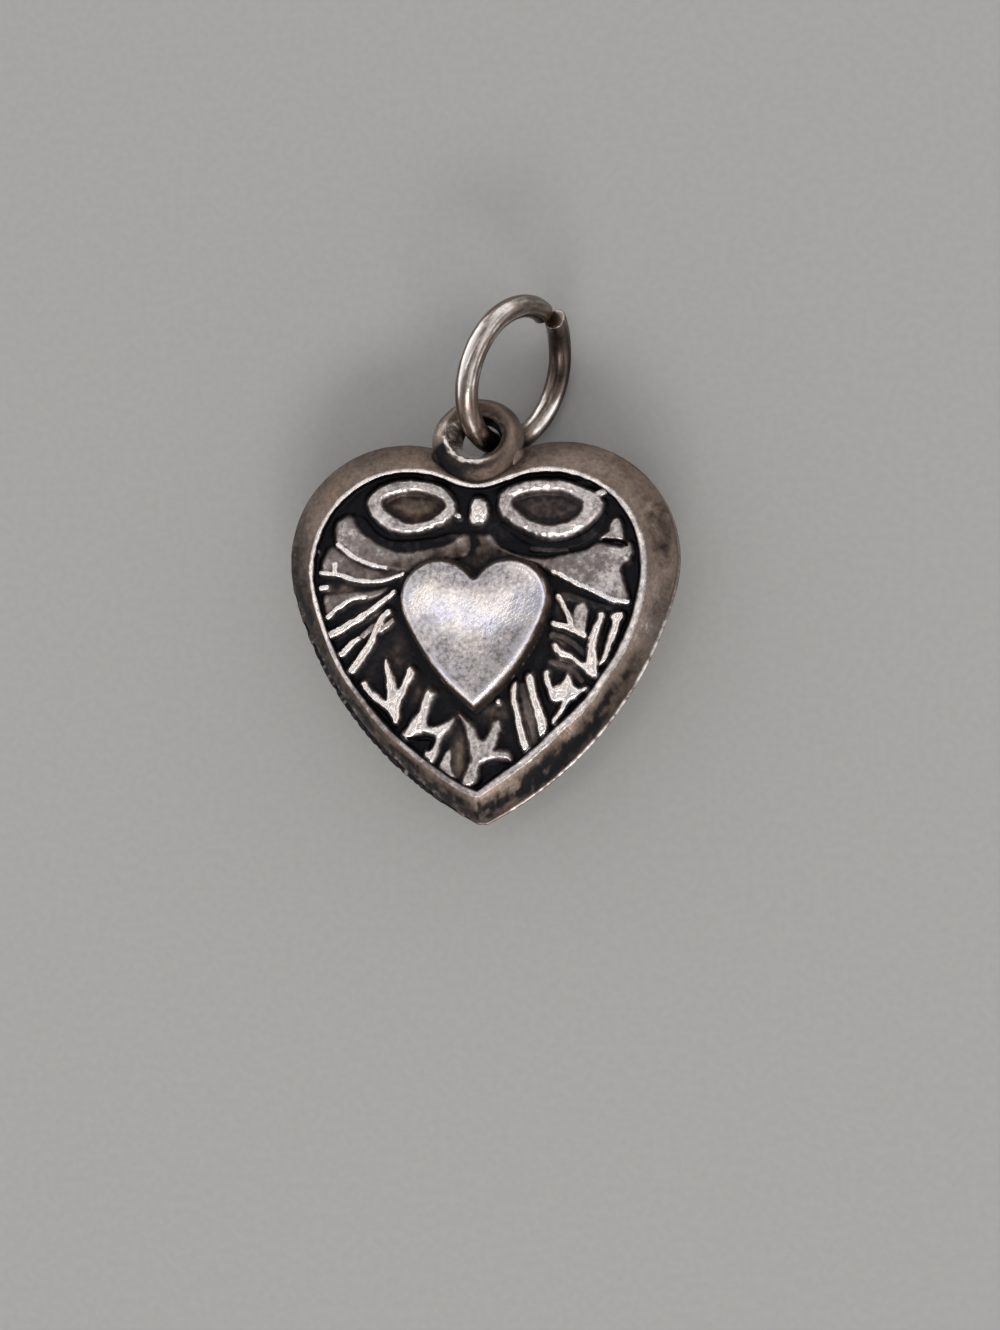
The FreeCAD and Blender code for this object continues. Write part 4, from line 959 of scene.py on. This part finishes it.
def make_eye(material):
    """The hanging eye, a thick ring which leans back in the cleft, with a lip worn wide at its lower left."""
    lean = math.radians(EYE_LEAN)
    up, front = np.array((0, math.cos(lean), -math.sin(lean))), np.array((0, math.sin(lean), math.cos(lean)))
    vertices, shine, warmth = [], [], []
    for k in range(EYE_RINGS):
        angle = 2 * math.pi * k / EYE_RINGS
        degrees = math.degrees(angle)
        wear = clipped(1.6 - abs(degrees - WORN_EYE_ANGLE) / WORN_EYE_REACH)
        section = eye_section(degrees, wear)
        count = len(section)
        out = np.array((math.cos(angle), 0, 0)) + up * math.sin(angle)
        place = np.column_stack([np.full(count, k * 0.04), np.arange(count) * 0.05])
        pitted = 0.016 * uneven(place, 0.3, 51) + (0.008 + 0.016 * wear) * uneven(place, 0.11, 52)
        pitted *= clipped(section[:, 1] / 0.2, 0.1)
        reach = EYE_HOLE + section[:, 0] * EYE_WIDTH + pitted - 0.01
        vertices.append(np.array(EYE_CENTRE) + out * reach[:, None] + front * section[:, 1:])
        for values, part in zip((shine, warmth), eye_tones(section, place, pitted, degrees, wear)):
            values.append(part)
    make_piece("hanging_eye_ring", vertices, ring_faces(EYE_RINGS, count, loop=True), material, shine, warmth,
               node="hanging_eye")


def make_eye_solder(material):
    """Two lumps of solder, which hold the eye in the cleft."""
    rows, columns = SOLDER_ROWS, SOLDER_COLUMNS
    down = np.repeat(math.pi * np.arange(1, rows) / rows, columns)
    turn = np.tile(2 * math.pi * np.arange(columns) / columns, rows - 1)
    way = np.column_stack([np.sin(down) * np.cos(turn), np.sin(down) * np.sin(turn), -np.cos(down)])
    pole = np.array((0, 0, SOLDER_RADIUS))
    vertices, faces = [], []
    for number, centre in enumerate(SOLDER_PLACES):
        first = len(vertices)
        lump = 0.97 + 0.03 * np.sin(3 * turn + number) * np.sin(down)
        vertices += list(np.vstack([-pole, way * (SOLDER_RADIUS * lump)[:, None], pole]) + centre)
        last = len(vertices) - 1
        faces += ring_faces(rows - 1, columns, first + 1)
        faces += [(first + 1 + (c + 1) % columns, first + 1 + c, first) for c in range(columns)]
        faces += [(last - columns + c, last - columns + (c + 1) % columns, last) for c in range(columns)]
    shine = np.where(np.array(vertices)[:, 0] < 0, 0.08, 0.36)
    make_piece("eye_solder_lumps", vertices, faces, material, shine, np.full(len(vertices), 0.8),
               node="eye_solder")


def make_jump_ring(material):
    """The open ring of round wire, whose two cut ends don't quite meet."""
    turn = Matrix.Rotation(math.radians(RING_TURN), 3, "Z") @ Matrix.Rotation(math.radians(RING_LEAN), 3, "Y")
    turn = np.array(turn)
    gap = RING_GAP / RING_RADIUS
    start = math.radians(RING_CUT) + gap / 2
    round_wire = 2 * math.pi * np.arange(WIRE_STEPS) / WIRE_STEPS
    wire = [(k / RING_STEPS, 0.96 if k in (0, RING_STEPS) else 1, 0, 1, WIRE_STREAKS) for k in range(RING_STEPS + 1)]
    rings = [*WIRE_START_SHARES, *wire, *WIRE_END_SHARES]
    vertices, shine, warmth = [], [], []
    for share, scale, ahead, bright, streaks in rings:
        angle = start + (2 * math.pi - gap) * share + ahead
        out = np.array((math.cos(angle), math.sin(angle), 0))
        step = share * RING_STEPS
        place = np.column_stack([np.full(WIRE_STEPS, step * 0.05), np.arange(WIRE_STEPS) * 0.07])
        reach = WIRE_RADIUS * scale + 0.006 * uneven(place, 0.5, 61) - 0.006
        from_ends = zip(END_SHIFT, (share, 1 - share))
        side = sum(shift * max(0, 1 - away / END_REACH_SHARE) ** 2 for shift, away in from_ends)
        local = out * (RING_RADIUS + reach * np.cos(round_wire))[:, None]
        local = local + np.array((0, 0, 1)) * (side + reach * np.sin(round_wire))[:, None]
        vertices.append(np.array(RING_CENTRE) + local @ turn.T)
        along = np.column_stack([np.full(WIRE_STEPS, step * 0.012), np.arange(WIRE_STEPS) * 0.3])
        worn = uneven(along, 0.55, 62) + 0.5 * uneven(along * (4, 1), 0.4, 63)
        # The tone holds the wire's tarnish and streaks as well as its painted highlights and painted shade
        tone = bright * table_at(RING_TARNISH_AND_PAINTED_LIGHT_SHARES, share) * (1 + streaks * worn)
        shine.append(clipped(tone))
        warmth.append(clipped(1.05 - tone))
    last = (len(rings) - 1) * WIRE_STEPS
    faces = [f[::-1] for f in ring_faces(len(rings), WIRE_STEPS)]
    faces += [tuple(range(WIRE_STEPS)), tuple(range(last + WIRE_STEPS - 1, last - 1, -1))]
    make_piece("jump_ring_wire", vertices, faces, material, shine, warmth,
               node="jump_ring", body="ring")


class Nodes:
    """A material's nodes, added with their inputs in one call each."""

    def __init__(self, name):
        self.material = bpy.data.materials.new(name)
        self.material.use_nodes = True
        self.tree = self.material.node_tree
        self.tree.nodes.clear()

    def add(self, kind, inputs, **settings):
        """Adds a node: an input is linked where its value is a socket, and set where it is a constant"""
        node = self.tree.nodes.new("ShaderNode" + kind)
        for key, value in settings.items():
            setattr(node, key, value)
        for key, value in inputs.items():
            socket = node.inputs[key]
            if isinstance(value, bpy.types.NodeSocket):
                self.tree.links.new(value, socket)
            else:
                socket.default_value = value
        return node

    def noise(self, place, scale, detail):
        """Smooth random values of one scale"""
        return self.add("TexNoise", {"Vector": place, "Scale": scale, "Detail": detail}).outputs["Fac"]

    def scratches(self, place, angle):
        """Noise drawn out into fine lines at an angle in degrees"""
        turned = self.add("Mapping", {"Vector": place, "Rotation": (0, 0, math.radians(angle)), "Scale": (1, 0.2, 1)},
                          vector_type="TEXTURE")
        return self.noise(turned.outputs["Vector"], SCRATCH_SCALE, 2)

    def attribute(self, name):
        """A value that the mesh carries at each vertex"""
        return self.add("Attribute", {}, attribute_name=name, attribute_type="GEOMETRY").outputs["Fac"]

    def sum(self, first, second, share):
        """first + second * share"""
        return self.add("Math", {0: second, 1: share, 2: first}, operation="MULTIPLY_ADD").outputs[0]

    def spread(self, value, low, high, to_low, to_high):
        """value stretched from one range to another, and kept in it"""
        inputs = {"Value": value, "From Min": low, "From Max": high, "To Min": to_low, "To Max": to_high}
        return self.add("MapRange", inputs).outputs["Result"]

    def blend(self, share, first, second):
        """A colour between two others"""
        return self.add("Mix", {0: share, 6: first, 7: second}, data_type="RGBA").outputs[2]


def tarnished_silver(name, grain=1.0, dull=0.5, smooth=0.3, scratched=False):
    """Silver from black tarnish through brown or grey to bare metal, by the mesh's shine and warmth."""
    nodes = Nodes(name)
    place = nodes.add("TexCoord", {}).outputs["Object"]
    shine, warmth = nodes.attribute("shine"), nodes.attribute("warmth")
    patches = nodes.noise(place, PATCH_SCALE, 3)
    specks = nodes.noise(place, SPECK_SCALE, 4)
    fine = nodes.noise(place, FINE_SCALE, 2)
    marks = nodes.spread(specks, 0.3, 0.7, -1, 1)
    marks = nodes.sum(marks, nodes.spread(patches, 0.3, 0.7, -1, 1), 0.6)
    marks = nodes.sum(marks, nodes.spread(fine, 0.3, 0.7, -1, 1), 0.5)
    level = nodes.sum(shine, marks, nodes.spread(shine, 0.05, 0.6, 0.01, 0.1 * grain))
    cool = nodes.blend(nodes.spread(level, 0.02, 0.22, 0, 1), BLACK, MAUVE)
    cool = nodes.blend(nodes.spread(level, 0.2, 0.6, 0, 1), cool, GREY)
    warm = nodes.blend(nodes.spread(level, 0.02, 0.14, 0, 1), BLACK, DARK_BROWN)
    warm = nodes.blend(nodes.spread(level, 0.1, 0.42, 0, 1), warm, BROWN)
    tint = nodes.blend(warmth, cool, warm)
    creamy = nodes.spread(nodes.sum(patches, warmth, 2.5), 0.42, 0.7, 0, 1)
    bare = nodes.blend(creamy, COOL_SILVER, WARM_SILVER)
    colour = nodes.blend(nodes.spread(level, 0.48, 0.9, 0, 1), tint, bare)
    rough = nodes.sum(nodes.spread(level, 0.1, 0.9, dull, smooth), marks, 0.03)
    normal = {}
    marked = [(specks, 0.000012, 0.5 * grain), (fine, 0.000006, 0.5 * grain)]
    if scratched:
        marked += [(nodes.scratches(place, angle), 0.000015, 0.6) for angle in SCRATCH_ANGLES]
    for height, distance, strength in marked:
        bump = nodes.add("Bump", {"Height": height, "Distance": distance, "Strength": strength, **normal})
        normal = {"Normal": bump.outputs["Normal"]}
    shader = nodes.add("BsdfPrincipled", {"Base Color": colour, "Metallic": nodes.spread(level, 0, 0.3, 0.9, 1),
                                          "Roughness": rough, **normal})
    nodes.add("OutputMaterial", {"Surface": shader.outputs["BSDF"]})
    return nodes.material


def table_material():
    """The plain grey of the table, with faint flecks."""
    nodes = Nodes("table_top")
    place = nodes.add("TexCoord", {}).outputs["Object"]
    flecks = nodes.noise(place, TABLE_SCALE, 3)
    colour = nodes.blend(nodes.spread(flecks, 0.35, 0.65, 0, 1), tuple(c * 0.96 for c in TABLE[:3]) + (1,), TABLE)
    shader = nodes.add("BsdfPrincipled", {"Base Color": colour, "Roughness": 0.8, "Specular IOR Level": 0.2})
    nodes.add("OutputMaterial", {"Surface": shader.outputs["BSDF"]})
    return nodes.material


def make_table():
    """The flat table that the charm lies on, a hair below it."""
    half, level = TABLE_HALF, TABLE_LEVEL
    mesh = bpy.data.meshes.new("table_top")
    mesh.from_pydata([(-half, -half, level), (half, -half, level), (half, half, level), (-half, half, level)], [],
                     [(0, 1, 2, 3)])
    mesh.materials.append(table_material())
    table = bpy.data.objects.new("table_top", mesh)
    bpy.context.scene.collection.objects.link(table)


def make_lights():
    """A room that is brighter to the sides than from above, a dim lamp overhead and a window in front."""
    world = bpy.data.worlds.new("room")
    world.use_nodes = True
    tree = world.node_tree
    background = tree.nodes["Background"]
    background.inputs["Color"].default_value = ROOM_COLOUR
    way = tree.nodes.new("ShaderNodeTexCoord")
    height = tree.nodes.new("ShaderNodeSeparateXYZ")
    strength = tree.nodes.new("ShaderNodeMapRange")
    for key, value in zip(("From Min", "From Max", "To Min", "To Max"), ROOM_LIGHT):
        strength.inputs[key].default_value = value
    tree.links.new(way.outputs["Generated"], height.inputs["Vector"])
    tree.links.new(height.outputs["Z"], strength.inputs["Value"])
    tree.links.new(strength.outputs["Result"], background.inputs["Strength"])
    bpy.context.scene.world = world
    for name, place, width, depth, power in LAMPS:
        lamp = bpy.data.lights.new(name, "AREA")
        lamp.shape, lamp.size, lamp.size_y = "RECTANGLE", width, depth
        lamp.energy, lamp.color = power, LAMP_COLOUR
        light = bpy.data.objects.new(name, lamp)
        light.location = place
        light.rotation_euler = (Vector(LAMP_TARGET) - Vector(place)).to_track_quat("-Z", "Y").to_euler()
        bpy.context.scene.collection.objects.link(light)


def make_camera():
    """The camera, nearly straight above, with its right side level."""
    back = Vector(CAMERA_FROM).normalized()
    right = Vector((back.z, 0, -back.x)).normalized()
    up = back.cross(right)
    place = Vector((0, 0, SEAM_LEVEL)) + right * CAMERA_SHIFT[0] + up * CAMERA_SHIFT[1] + back * CAMERA_DISTANCE
    camera = bpy.data.objects.new("camera", bpy.data.cameras.new("camera"))
    bpy.context.scene.collection.objects.link(camera)
    camera.matrix_world = Matrix.Translation(place * MM) @ Matrix((right, up, back)).transposed().to_4x4()
    camera.data.lens = camera.data.sensor_width / 2 / math.tan(math.radians(CAMERA_ANGLE) / 2)
    camera.data.clip_start, camera.data.clip_end = 0.001, 10
    bpy.context.scene.camera = camera


def main():
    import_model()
    struck = tarnished_silver("struck_silver", grain=1.3, smooth=0.24, scratched=True)
    plain = tarnished_silver("plain_silver", grain=0.6)
    make_front(struck)
    make_back(plain)
    make_seam(tarnished_silver("seam_solder", grain=1.4))
    make_eye(tarnished_silver("eye_silver", grain=0.9))
    make_eye_solder(tarnished_silver("eye_solder", grain=1.2))
    make_jump_ring(tarnished_silver("wire_silver", grain=0.6, dull=0.34, smooth=0.08))
    make_table()
    make_lights()
    make_camera()
    bpy.context.scene.view_settings.view_transform = "Standard"
    bpy.context.view_layer.update()


main()
